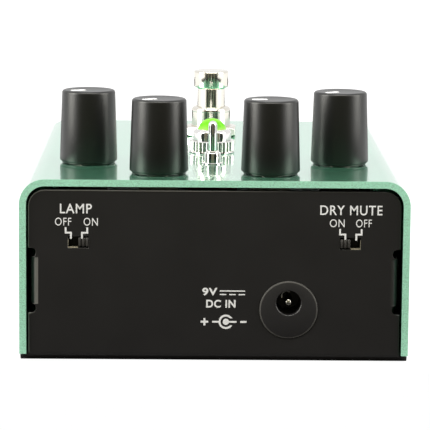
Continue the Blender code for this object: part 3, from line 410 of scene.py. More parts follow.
MAKERS = {
    "anodised_green": anodised_green,
    "sawn_mint": sawn_mint,
    "black_coat": black_coat,
    "moulded_charcoal": moulded_charcoal,
    "bright_chrome": lambda: plated("bright_chrome", (0.76, 0.75, 0.69), 0.06),
    "bright_nickel": lambda: plated("bright_nickel", (0.74, 0.72, 0.63), 0.14),
    "dull_metal": dull_metal,
    "foot_rubber": foot_rubber,
    "white_ink": lambda: printed_ink("white_ink", bpy.context.scene.pedal_colours.ink),
    "lit_jewel": lit_jewel,
    "circuit_board": circuit_board,
    "blued_steel": blued_steel,
    "coat_rim": coat_rim,
    "card_black": lambda: Finish("card_black", (0.004, 0.004, 0.004), 1.0).material,
    "card_brown": lambda: Finish("card_brown", (0.22, 0.21, 0.14), 1.0).material,
    "pale_floor": pale_floor,
}


def finish_named(name):
    """The material of that name, made when it is first asked for."""
    if name in bpy.data.materials:
        return bpy.data.materials[name]
    return moulded_plastic(name, *PLASTICS[name]) if name in PLASTICS else MAKERS[name]()


# Modelling tools


def select_only(*pieces):
    """Selects these objects and makes the first one active."""
    bpy.ops.object.select_all(action="DESELECT")
    for piece in pieces:
        piece.select_set(True)
    bpy.context.view_layer.objects.active = pieces[0]


def begin_edit(piece, action="SELECT"):
    select_only(piece)
    bpy.ops.object.mode_set(mode="EDIT")
    bpy.ops.mesh.select_mode(type="VERT")
    bpy.ops.mesh.select_all(action=action)


def end_edit():
    bpy.ops.object.mode_set(mode="OBJECT")


def pick(piece, kind, test):
    """Selects in edit mode the faces or edges that pass a test of their middle and normal."""
    bpy.ops.mesh.select_mode(type="FACE" if kind == "faces" else "EDGE")
    bpy.ops.mesh.select_all(action="DESELECT")
    bpy.ops.object.mode_set(mode="OBJECT")
    mesh = piece.data
    if kind == "faces":
        for face in mesh.polygons:
            face.select = test(face.center, face.normal)
    else:
        for edge in mesh.edges:
            first, last = (mesh.vertices[i].co for i in edge.vertices)
            edge.select = test((first + last) / 2, (last - first).normalized())
    bpy.ops.object.mode_set(mode="EDIT")


def settle(piece, place=(0, 0, 0), turn=(0, 0, 0)):
    """Moves a piece to its place and puts that place in its mesh."""
    piece.location = Vector(piece.location) + Vector(place)
    if any(turn):
        piece.rotation_euler = turn
    select_only(piece)
    bpy.ops.object.transform_apply(location=True, rotation=True, scale=True)
    return piece


def soften(piece, degrees=30):
    """Shades a piece smooth except across its sharp edges."""
    select_only(piece)
    bpy.ops.object.shade_smooth_by_angle(angle=math.radians(degrees))
    return piece


def face_outwards(piece):
    begin_edit(piece)
    bpy.ops.mesh.normals_make_consistent(inside=False)
    end_edit()


def lathe(name, profile, place=(0, 0, 0), turn=(0, 0, 0), sides=72, closed=False):
    """Turns a profile of (radius, height): a circle drawn out ring by ring."""
    radius, height = profile[0]
    bpy.ops.mesh.primitive_circle_add(
        vertices=sides, radius=radius, fill_type="NOTHING" if closed else "NGON",
        location=(0, 0, height))
    piece = bpy.context.object
    piece.name = piece.data.name = name
    settle(piece)
    begin_edit(piece)
    rings = profile[1:] + profile[:1] if closed else profile[1:]
    for next_radius, next_height in rings:
        share = next_radius / radius
        bpy.ops.mesh.extrude_region_move(
            TRANSFORM_OT_translate={"value": (0, 0, next_height - height)})
        bpy.ops.transform.resize(
            value=(share, share, 1), center_override=(0, 0, next_height))
        radius, height = next_radius, next_height
    if closed:
        bpy.ops.mesh.select_all(action="SELECT")
        bpy.ops.mesh.remove_doubles(threshold=0.001 * MM)
    end_edit()
    face_outwards(piece)
    settle(piece, place, turn)
    return soften(piece)


def arc(radius, height, size, first, last, steps=6):
    """Profile points of a rounded edge, between two angles in degrees."""
    angles = [math.radians(first + (last - first) * i / steps) for i in range(steps + 1)]
    return [(radius + size * math.cos(a), height + size * math.sin(a)) for a in angles]


def slab(name, low, high, edge=0.0, steps=2):
    """A box between two corners, its edges rounded."""
    low, high = Vector(low), Vector(high)
    bpy.ops.mesh.primitive_cube_add(size=1, location=(low + high) / 2)
    piece = bpy.context.object
    piece.name = piece.data.name = name
    piece.scale = high - low
    settle(piece)
    if edge:
        begin_edit(piece)
        bpy.ops.mesh.bevel(offset=edge, segments=steps, affect="EDGES")
        end_edit()
        soften(piece, 40)
    return piece


def pin(name, radius, low, high, place, turn=(0, 0, 0), sides=48):
    """A plain cylinder between two heights, used as a tool."""
    return lathe(name, [(radius, low), (radius, high)], place, turn, sides)


def apply_modifier(piece, kind, **settings):
    """Adds a modifier with its settings and applies it."""
    modifier = piece.modifiers.new(kind, kind)
    for label, value in settings.items():
        setattr(modifier, label, value)
    select_only(piece)
    bpy.ops.object.modifier_apply(modifier=modifier.name)


def carve(piece, *tools, operation="DIFFERENCE"):
    """Cuts a piece with tools, which are then gone."""
    for tool in tools:
        apply_modifier(piece, "BOOLEAN", operation=operation, solver="EXACT", object=tool)
        bpy.data.objects.remove(tool)
    return piece


def merge(name, pieces):
    """Joins pieces into one object."""
    select_only(*pieces)
    bpy.ops.object.join()
    piece = bpy.context.object
    piece.name = piece.data.name = name
    return piece


def round_edges(piece, width, steps=2, degrees=30):
    """Rounds the sharp edges of a piece and keeps its flat faces evenly shaded."""
    apply_modifier(
        piece, "BEVEL", width=width, segments=steps, limit_method="ANGLE",
        angle_limit=math.radians(degrees), use_clamp_overlap=True, miter_outer="MITER_ARC")
    soften(piece, 45)
    apply_modifier(piece, "WEIGHTED_NORMAL", mode="FACE_AREA", weight=100, keep_sharp=True)
    return piece


def eased_copy(node, name, edge, steps=2):
    """A copy of a CAD node with its triangles merged to faces and its edges rounded."""
    piece = frame["nodes"][node].copy()
    piece.data = piece.data.copy()
    piece.name = piece.data.name = name
    piece.parent = None
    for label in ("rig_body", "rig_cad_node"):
        del piece[label]
    bpy.context.scene.collection.objects.link(piece)
    begin_edit(piece)
    bpy.ops.mesh.remove_doubles(threshold=0.001 * MM)
    bpy.ops.mesh.dissolve_limited(angle_limit=math.radians(1))
    end_edit()
    if edge:
        round_edges(piece, edge, steps)
    return piece


def dress(piece, finish, slot, body, *nodes):
    """Gives a piece its finish and body, and hides the CAD nodes that it stands for. The slot is
    not used.
    """
    piece.data.materials.clear()
    piece.data.materials.append(finish_named(finish))
    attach(piece, body)
    if nodes:
        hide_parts(*nodes)
    return piece


def middle(node):
    """The middle of a CAD node's box."""
    low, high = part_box(node)
    return (low + high) / 2


def sizes():
    return bpy.context.scene.pedal_sizes


class PieceOperator(bpy.types.Operator):
    """What the operators of this add-on share."""

    bl_options = {"REGISTER", "UNDO"}

    def execute(self, context):
        self.build(context)
        return {"FINISHED"}


# Enclosure


class PEDAL_OT_shell(PieceOperator):
    """Bends the anodised cover and cuts its holes and sawn edges"""

    bl_idname = "pedal.shell"
    bl_label = "Top shell"
    wall = 1.75 * MM
    corner = 6.4 * MM

    def build(self, context):
        low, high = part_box("top_shell")
        shell = slab("shell", low, high)
        begin_edit(shell)
        pick(shell, "faces", lambda at, normal: abs(normal.y) > 0.5 or normal.z < -0.5)
        bpy.ops.mesh.delete(type="FACE")
        pick(shell, "edges", lambda at, way: abs(way.y) > 0.9 and at.z > high.z - self.wall)
        bpy.ops.mesh.bevel(offset=self.corner, segments=12, affect="EDGES")
        end_edit()
        apply_modifier(shell, "SOLIDIFY", thickness=self.wall, offset=-1, use_even_offset=True)
        self.cut_holes(shell, high.z)
        self.add_posts(shell, high.z)
        round_edges(shell, sizes().sawn_edge, 2, 50)
        dress(shell, "anodised_green", "green_anodised", HOME, "top_shell")
        shell.data.materials.append(finish_named("sawn_mint"))
        for face in shell.data.polygons:
            at_end = min(abs(face.center.y - low.y), abs(face.center.y - high.y)) < 0.3 * MM
            at_foot = face.center.z < low.z + 0.3 * MM
            face.material_index = 1 if at_end or at_foot else 0

    def cut_holes(self, shell, top):
        holes = [(middle(f"pot_shaft_{n}"), 3.8) for n in range(1, 5)]
        holes += [(middle("toggle_bushing"), 2.45), (middle("jewel_bezel"), 4.3)]
        holes.append((middle("footswitch_barrel"), 5.8))
        for number, (at, radius) in enumerate(holes):
            place = (at.x, at.y, top)
            carve(shell, pin(f"hole_{number}", radius * MM, -4 * MM, 4 * MM, place))
        for name, turn in (("input", TO_LEFT), ("output", TO_RIGHT)):
            at = middle(name + "_jack_nut")
            carve(shell, pin(name + "_hole", 4.9 * MM, -6 * MM, 6 * MM, at, turn))

    def add_posts(self, shell, top):
        """The four posts under the shell that the base screws turn into."""
        outer, bore, ceiling = 3.5 * MM, 1.55 * MM, top - self.wall + 0.05 * MM
        for number in range(1, 5):
            low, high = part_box(f"base_screw_{number}")
            at = (low + high) / 2
            foot, end = 3.3 * MM, high.z + 0.3 * MM
            profile = [(AXIS, end), (bore, end), (bore, foot), (outer, foot)]
            profile += [(outer, ceiling), (AXIS, ceiling)]
            carve(shell, lathe(f"post_{number}", profile, (at.x, at.y, 0)), operation="UNION")


class PEDAL_OT_base(PieceOperator):
    """Folds the black base with its rounded sheet edges, and the battery door in its front"""

    bl_idname = "pedal.base"
    bl_label = "Base and door"
    bend = 5 * MM  # the rear panel's bend ends below this height
    rim = 0.25 * MM
    felt_from, felt_to = 53.7 * MM, 54.8 * MM  # along Y, between the posts and the tabs

    def build(self, context):
        self.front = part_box("base_chassis")[0].y
        edge = sizes().folded_edge
        chassis = eased_copy("base_chassis", "chassis", 0)
        self.round_rim(chassis)
        round_edges(chassis, edge)
        dress(chassis, "black_coat", "black_powder_coat", HOME, "base_chassis")
        self.paint_rim_highlight(chassis)
        door = eased_copy("battery_door", "door", edge)
        dress(door, "black_coat", "black_powder_coat", "door", "battery_door")
        self.light_blocking_strips()

    def round_rim(self, chassis):
        """Rounds the outline of the rear panel above its bend, and none of its windows."""
        beside_windows, above_windows = 45.5 * MM, 43 * MM

        def on_outline(at, way):
            outer = abs(at.x) > beside_windows or at.z > above_windows
            return outer and at.y < self.front + 0.01 * MM and at.z > self.bend

        begin_edit(chassis)
        pick(chassis, "edges", on_outline)
        bpy.ops.mesh.bevel(offset=self.rim, segments=3, affect="EDGES", clamp_overlap=False)
        end_edit()

    def paint_rim_highlight(self, chassis):
        """Paints a highlight on the rear panel's rounded edges by giving their faces the pale
        painted-highlight finish.
        """
        chassis.data.materials.append(finish_named("coat_rim"))
        for face in chassis.data.polygons:
            at, tilt = face.center, face.normal.y
            on_rim = at.z > self.bend and at.y < self.front + self.rim + 0.05 * MM
            if on_rim and -0.99 < tilt < -0.15:
                face.material_index = 1

    def light_blocking_strips(self):
        """A dark strip up each side wall that closes the gap beside the far end's tabs: a light
        blocker put there for the shade it makes inside.
        """
        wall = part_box("top_shell")[1].x - PEDAL_OT_shell.wall - 0.05 * MM
        thick, foot, top = 1.9 * MM, 8 * MM, 39 * MM
        for name, side in (("felt_left", -1), ("felt_right", 1)):
            near, far = sorted((side * (wall - thick), side * wall))
            felt = slab(
                name, (near, self.felt_from, foot), (far, self.felt_to, top), 0.2 * MM)
            dress(felt, "foot_rubber", "black_powder_coat", HOME)


class PEDAL_OT_fixings(PieceOperator):
    """Turns the base screws with their cross recess, and the rubber feet"""

    bl_idname = "pedal.fixings"
    bl_label = "Screws and feet"

    def build(self, context):
        for number in range(1, 5):
            self.screw(number)
            self.foot(number)

    def screw(self, number):
        low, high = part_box(f"base_screw_{number}")
        at = (low + high) / 2
        head, shank, length = (high.x - low.x) / 2, 1.4 * MM, high.z - low.z
        profile = [(AXIS, 0), (head - 0.25 * MM, 0), (head, 0.2 * MM), (shank, 1.35 * MM)]
        profile += [(shank, length - 0.5 * MM), (shank * 0.6, length), (AXIS, length)]
        screw = lathe(f"screw_{number}", profile, (at.x, at.y, low.z), sides=40)
        arm, width, depth = 1.55 * MM, 0.32 * MM, 0.9 * MM
        for reach_x, reach_y in ((arm, width), (width, arm)):
            corner = Vector((reach_x, reach_y, depth))
            centre = Vector((at.x, at.y, low.z))
            carve(screw, slab("recess", centre - corner, centre + corner))
        soften(screw)
        dress(screw, "blued_steel", "black_steel", HOME, f"base_screw_{number}")

    def foot(self, number):
        low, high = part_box(f"rubber_foot_{number}")
        at = (low + high) / 2
        radius, top, edge = (high.x - low.x) / 2, high.z - low.z, 0.45 * MM
        profile = [(AXIS, top), (radius - 0.1 * MM, top), (radius, top - 0.1 * MM)]
        profile += arc(radius - edge, edge, edge, 0, -90)
        profile += [(radius * 0.6, 0), (radius * 0.56, 0.15 * MM), (AXIS, 0.15 * MM)]
        foot = lathe(f"foot_{number}", profile, (at.x, at.y, low.z))
        dress(foot, "foot_rubber", "foot_rubber", HOME, f"rubber_foot_{number}")


# Knobs


class PEDAL_OT_knobs(PieceOperator):
    """Turns the four tapered knobs and lays in their white pointers"""

    bl_idname = "pedal.knobs"
    bl_label = "Knobs"
    degrees = (64.0, 55.0, 83.0, 50.0)

    def build(self, context):
        for number, angle in enumerate(self.degrees, 1):
            self.knob(number, angle)

    def knob(self, number, angle):
        low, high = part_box(f"knob_{number}")
        at = (low + high) / 2
        base, height = (high.x - low.x) / 2, high.z - low.z
        top, edge = base * 0.924, sizes().knob_edge
        skirt, room = base - 1.3 * MM, 3.6 * MM
        slope = (base - top) / height
        shoulder = height - edge
        profile = [(AXIS, height - 0.12 * MM), (top - 2.2 * MM, height - 0.12 * MM)]
        profile += [(top - 1.6 * MM, height - 0.03 * MM), (top - edge - 0.1 * MM, height)]
        profile += arc(top - edge, shoulder, edge, 80, 4, 8)
        profile += [(base - slope * (height - 9 * MM), height - 9 * MM), (base, 0.45 * MM)]
        profile += [(base - 0.08 * MM, 0.15 * MM), (base - 0.3 * MM, 0)]
        profile += [(base - 0.5 * MM, -0.04 * MM), (base - 0.55 * MM, -0.38 * MM)]
        profile += [(skirt, -0.38 * MM)]
        profile += [(skirt, room), (3.15 * MM, room), (3.15 * MM, 14 * MM), (AXIS, 14 * MM)]
        place = (at.x, at.y, low.z)
        knob = lathe(f"knob_{number}_body", profile, place, sides=96)
        body = f"knob_{number}_turning"
        dress(knob, "moulded_charcoal", "knob_black", body, f"knob_{number}")
        half, inner, outer, sunk = 0.75 * MM, 1.0 * MM, 4.9 * MM, 0.45 * MM
        bar = slab(
            f"knob_{number}_pointer",
            (-half, -outer, height - sunk), (half, -inner, height), 0.2 * MM, 3)
        settle(bar, place, (0, 0, -math.radians(angle)))
        dress(bar, "white_ink", "knob_black", body)


# Top controls


class PEDAL_OT_toggle(PieceOperator):
    """Turns the toggle's rolled bushing and its lever"""

    bl_idname = "pedal.toggle"
    bl_label = "Toggle switch"

    def build(self, context):
        low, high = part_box("toggle_bushing")
        at = (low + high) / 2
        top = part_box("top_shell")[1].z
        radius, bore, lip = 2.15 * MM, 1.5 * MM, 0.15 * MM
        rise, seat = high.z - low.z, top - low.z + 0.02 * MM
        profile = [(bore, 0), (bore, rise - 0.1 * MM), (bore + 0.04 * MM, rise)]
        profile += arc(1.74 * MM - lip, rise - lip, lip, 90, 0, 4)
        shoulder = rise - 0.4 * MM
        profile += [(1.76 * MM, shoulder + 0.05 * MM)]
        profile += arc(radius - 0.2 * MM, shoulder - 0.2 * MM, 0.2 * MM, 80, 0, 4)
        profile += [(radius, seat + 0.4 * MM), (radius + 0.42 * MM, seat + 0.33 * MM)]
        profile += [(radius + 0.55 * MM, seat + 0.2 * MM), (radius + 0.55 * MM, seat)]
        profile += [(radius, seat), (radius, 0)]
        bushing = lathe("bushing", profile, (at.x, at.y, low.z), closed=True)
        dress(bushing, "bright_chrome", "bright_chrome", HOME, "toggle_bushing")
        low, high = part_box("toggle_lever")
        at = (low + high) / 2
        radius, length = (high.x - low.x) / 2, high.z - low.z
        profile = [(AXIS, 0), (0.85 * radius, 0), (radius, 0.3 * MM)]
        profile += arc(0, length - radius, radius, 0, 88, 12) + [(AXIS, length)]
        lever = lathe("lever", profile, (at.x, at.y, low.z), sides=48)
        dress(lever, "bright_chrome", "bright_chrome", "toggle", "toggle_lever")


class PEDAL_OT_jewel(PieceOperator):
    """Turns the fluted bezel and cuts the faceted lens"""

    bl_idname = "pedal.jewel"
    bl_label = "Jewel lamp"

    def build(self, context):
        low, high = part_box("jewel_bezel")
        at = (low + high) / 2
        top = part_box("top_shell")[1].z
        seat = top - low.z + 0.05 * MM
        rise = high.z - low.z
        stem, bore, lens = 4.0 * MM, 3.1 * MM, 4.0 * MM
        flange, ring, collar = 6.15 * MM, 6.05 * MM, 5.15 * MM
        shelf = seat + 3.3 * MM
        profile = [(bore, 0), (bore, rise - 2.3 * MM), (lens, rise - 2.2 * MM)]
        profile += [(lens, rise - 0.7 * MM), (4.02 * MM, rise - 0.14 * MM)]
        profile += arc(collar - 1.05 * MM, rise - 1.05 * MM, 1.05 * MM, 92, 4, 12)
        profile += [(collar, shelf + 0.12 * MM), (collar - 0.1 * MM, shelf)]
        profile += [(stem, shelf), (stem, 0)]
        collar_piece = lathe("bezel_collar", profile, (at.x, at.y, low.z), sides=96, closed=True)
        inner = stem + 0.02 * MM
        profile = [(inner, shelf - 0.02 * MM), (ring - 0.3 * MM, shelf - 0.02 * MM)]
        profile += [(ring, shelf - 0.25 * MM), (ring, seat + 0.6 * MM)]
        profile += [(ring - 0.2 * MM, seat + 0.45 * MM), (inner, seat + 0.45 * MM)]
        flutes = sizes().flutes
        fluted = lathe("bezel_flutes", profile, sides=6 * flutes, closed=True)
        self.cut_flutes(fluted, ring, flutes)
        settle(fluted, (at.x, at.y, low.z))
        profile = [(inner, seat), (flange - 0.1 * MM, seat), (flange, seat + 0.1 * MM)]
        profile += [(flange - 0.05 * MM, seat + 0.3 * MM), (ring - 0.3 * MM, seat + 0.44 * MM)]
        profile += [(inner, seat + 0.44 * MM)]
        washer = lathe("bezel_flange", profile, (at.x, at.y, low.z), sides=96, closed=True)
        bezel = merge("bezel", [collar_piece, fluted, washer])
        dress(bezel, "bright_chrome", "bright_chrome", HOME, "jewel_bezel")
        self.lens()

    def cut_flutes(self, fluted, ring, flutes):
        """Draws two of each six columns of the ring's wall towards its axis."""
        step = 2 * math.pi / (6 * flutes)
        begin_edit(fluted, "DESELECT")
        end_edit()
        for vertex in fluted.data.vertices:
            column = round(math.atan2(vertex.co.y, vertex.co.x) / step) % 6
            vertex.select = vertex.co.xy.length > ring - 0.4 * MM and column < 2
        bpy.ops.object.mode_set(mode="EDIT")
        share = 1 - 0.35 * MM / ring
        bpy.ops.transform.resize(value=(share, share, 1), center_override=(0, 0, 0))
        end_edit()

    def lens(self):
        low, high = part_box("jewel_lens")
        at = (low + high) / 2
        radius = (high.x - low.x) / 2
        rim = 0.42 * (high.z - low.z)
        dome = high.z - low.z - rim
        profile = [(AXIS, 0), (radius * 0.98, 0), (radius, rim)]
        for share, level in ((0.95, 0.28), (0.83, 0.55), (0.64, 0.78), (0.4, 0.93), (0.18, 1.0)):
            profile.append((radius * share, rim + dome * level))
        lens = lathe("lens", profile, (at.x, at.y, low.z), sides=16)
        select_only(lens)
        bpy.ops.object.shade_flat()
        lens.visible_glossy = False
        dress(lens, "lit_jewel", "jewel_green", HOME, "jewel_lens")


class PEDAL_OT_footswitch(PieceOperator):
    """Turns the footswitch's threaded barrel, its nut and its plunger"""

    bl_idname = "pedal.footswitch"
    bl_label = "Footswitch"

    def build(self, context):
        low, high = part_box("footswitch_barrel")
        at = (low + high) / 2
        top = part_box("top_shell")[1].z
        rise, bore, radius = high.z - low.z, 4.1 * MM, 5.5 * MM
        flange = (high.x - low.x) / 2
        edge = 1.0 * MM
        profile = [(bore, 0), (bore, rise - 0.5 * MM), (bore + 0.35 * MM, rise - 0.08 * MM)]
        profile += arc(radius - edge, rise - edge, edge, 86, 0, 8)
        profile += thread(radius, rise - edge - 0.3 * MM, top - low.z + 1.2 * MM)
        profile += [(radius - 0.2 * MM, 1.7 * MM), (flange, 1.7 * MM), (flange, 0)]
        barrel = lathe("barrel", profile, (at.x, at.y, low.z), sides=96, closed=True)
        dress(barrel, "bright_nickel", "bright_nickel", HOME, "footswitch_barrel")
        low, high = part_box("footswitch_nut")
        nut = hex_nut("stomp_nut", high.x - low.x, high.z - low.z, radius + 0.1 * MM, -4)
        settle(nut, (at.x, at.y, low.z - 0.27 * MM))
        dress(nut, "bright_nickel", "bright_nickel", HOME, "footswitch_nut")
        self.plunger(at)

    def plunger(self, at):
        low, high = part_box("footswitch_plunger")
        length = high.z - low.z
        cap, neck, stem = 4.9 * MM, 3.92 * MM, 1.5 * MM
        under, shoulder = length - 4.75 * MM, 0.55 * MM
        neck_foot = length - 14.2 * MM
        profile = [(AXIS, 0), (stem, 0), (stem, neck_foot), (neck, neck_foot)]
        profile += [(neck, under - 0.35 * MM), (neck + 0.3 * MM, under - 0.05 * MM)]
        profile += [(cap - 0.35 * MM, under), (cap - 0.1 * MM, under + 0.12 * MM)]
        profile += [(cap, under + 0.35 * MM)]
        profile += arc(cap - shoulder, length - shoulder, shoulder, 0, 84, 8)
        profile += [(cap - 1.4 * MM, length), (AXIS, length)]
        plunger = lathe("plunger", profile, (at.x, at.y, low.z), sides=96)
        dress(plunger, "bright_nickel", "bright_nickel", "stomp_button", "footswitch_plunger")


def thread(radius, top, bottom):
    """Profile points of a thread: a crest and a root for each pitch, from top to bottom."""
    pitch, depth = sizes().thread_pitch, sizes().thread_depth
    points = []
    height = top
    while height > bottom:
        points += [(radius, height), (radius - depth, height - pitch / 2)]
        height -= pitch
    return points


def hex_nut(name, flats, height, bore, turn):
    """A hexagon nut with chamfered corners and an eased bore, turned by some degrees."""
    corner = flats / math.sqrt(3)
    nut = lathe(name, [(corner, 0), (corner, height)], sides=6, turn=(0, 0, math.radians(turn)))
    face, slope = flats / 2 * 0.98, math.tan(math.radians(28))
    drop = (corner - face) * slope
    rim = corner + 0.01 * MM
    profile = [(AXIS, 0), (face, 0), (rim, drop), (rim, height - drop), (face, height)]
    carve(nut, lathe("chamfers", profile + [(AXIS, height)]), operation="INTERSECT")
    ease = 0.3 * MM
    profile = [(AXIS, -ease), (bore + 2 * ease, -ease), (bore, ease), (bore, height - ease)]
    profile += [(bore + 2 * ease, height + ease), (AXIS, height + ease)]
    carve(nut, lathe("nut_bore", profile))
    return round_edges(nut, 0.08 * MM, 2, 25)


# Rear panel


class PEDAL_OT_socket(PieceOperator):
    """Turns the power socket's face with its chamfered bore, the spring leaf and the pin"""

    bl_idname = "pedal.socket"
    bl_label = "Power socket"

    def build(self, context):
        low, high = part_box("power_socket")
        radius, depth = (high.x - low.x) / 2 + 0.1 * MM, high.y - low.y
        face = middle("power_socket")
        face = Vector((face.x, low.y, high.z + 0.1 * MM - radius))
        pin_at = middle("power_socket_pin")
        edge = 0.35 * MM
        profile = [(AXIS, 0), (radius - 0.2 * MM, 0), (radius - 0.2 * MM, depth - 1 * MM)]
        profile += [(radius, depth - 0.9 * MM), (radius, depth - edge)]
        profile += [(radius - edge * 0.35, depth - edge * 0.25), (radius - edge, depth)]
        profile += [(AXIS, depth)]
        place = (face.x, face.y + depth, face.z)
        socket = lathe("socket_face", profile, place, TO_REAR, sides=96)
        bore, ease = 3.15 * MM, 0.12 * MM
        profile = [(AXIS, -10 * MM), (bore, -10 * MM), (bore, -ease), (bore + ease, 0)]
        profile += [(bore + ease, ease), (AXIS, ease)]
        carve(socket, lathe("socket_bore", profile, (pin_at.x, face.y, pin_at.z), TO_REAR, 64))
        soften(socket, 25)
        dress(socket, "socket_black", "black_plastic", HOME, "power_socket")
        # Painted highlight: the faces round the socket face's rim get a lighter plastic.
        socket.data.materials.append(finish_named("socket_rim"))
        for polygon in socket.data.polygons:
            away = polygon.center - face
            on_rim = away.length > radius - 0.5 * MM and away.y < 0.4 * MM
            if on_rim and -0.99 < polygon.normal.y < -0.15:
                polygon.material_index = 1
        self.pin(pin_at)
        self.leaf(pin_at, face.y)

    def pin(self, at):
        low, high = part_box("power_socket_pin")
        radius, length = 1.0 * MM, high.y - low.y
        profile = [(AXIS, 0), (radius, 0), (radius, length - 0.9 * MM)]
        profile += arc(0, length - radius, radius, 30, 88, 6) + [(AXIS, length)]
        piece = lathe("socket_pin", profile, (at.x, high.y, at.z), TO_REAR, 32)
        dress(piece, "bright_nickel", "bright_nickel", HOME, "power_socket_pin")

    def leaf(self, at, front):
        """The curled end of the sprung leaf that touches the plug's sleeve."""
        outer, inner = 1.4 * MM, 1.15 * MM
        profile = [(inner, -2.6 * MM), (inner, -1.7 * MM), (outer, -1.6 * MM), (outer, -2.6 * MM)]
        place = (at.x - 0.45 * MM, front, at.z + 1.5 * MM)
        leaf = lathe("socket_leaf", profile, place, TO_REAR, 64, closed=True)
        begin_edit(leaf)
        bpy.ops.mesh.select_mode(type="FACE")
        bpy.ops.mesh.select_all(action="DESELECT")
        first, last = math.radians(50), math.radians(205)
        bpy.ops.object.mode_set(mode="OBJECT")
        for face in leaf.data.polygons:
            offset = face.center - Vector(place)
            angle = math.atan2(offset.z, offset.x) % (2 * math.pi)
            face.select = not first < angle < last
        bpy.ops.object.mode_set(mode="EDIT")
        bpy.ops.mesh.delete(type="FACE")
        bpy.ops.mesh.select_mode(type="EDGE")
        bpy.ops.mesh.select_all(action="SELECT")
        bpy.ops.mesh.fill_holes(sides=0)
        end_edit()
        face_outwards(leaf)
        dress(leaf, "bright_nickel", "bright_nickel", HOME)


class PEDAL_OT_slides(PieceOperator):
    """Eases the two ribbed sliders, gives the plated cases behind their windows a near-black
    painted shade, and adds pale strips as painted highlights at the windows' outer ends
    """

    bl_idname = "pedal.slides"
    bl_label = "Slide switches"

    def build(self, context):
        for name, body in (("lamp_switch", "lamp_slider"), ("mute_switch", "mute_slider")):
            slider = eased_copy(name + "_slider", name + "_thumb", 0.1 * MM)
            dress(slider, "slider_black", "black_plastic", body, name + "_slider")
            case = eased_copy(name + "_case", name + "_frame", 0.12 * MM)
            # Painted shade: the plated case gets a near-black plastic, as dark as it shows behind
            # its window.
            dress(case, "switch_frame", "inner_metal", HOME, name + "_case")
            self.window_edge_highlight(name, -1 if name == "lamp_switch" else 1)

    def window_edge_highlight(self, name, side):
        """A pale strip at the window's outer end and foot: a painted highlight where the window's
        edge catches the light.
        """
        case, front = middle(name + "_case"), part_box("base_chassis")[0].y
        at = Vector((case.x, case.y, middle(name + "_slider").z))
        reach, drop, thin = 2.6 * MM, 1.5 * MM, 0.12 * MM
        start, end = front + 0.2 * MM, front + 1.3 * MM
        outer = at.x + side * reach
        xs = sorted((outer, outer - side * thin))
        upright = slab("upright", (xs[0], start, at.z - drop), (xs[1], end, at.z + 0.6 * drop))
        xs = sorted((outer, at.x + side * 0.1 * MM))
        foot = slab("foot", (xs[0], start, at.z - drop), (xs[1], end, at.z - drop + 2 * thin))
        carve(upright, foot, operation="UNION")
        upright.name = upright.data.name = name + "_liner"
        # Pale plastic for the painted highlight at the window's edge.
        dress(upright, "tin_edge", "inner_metal", HOME)


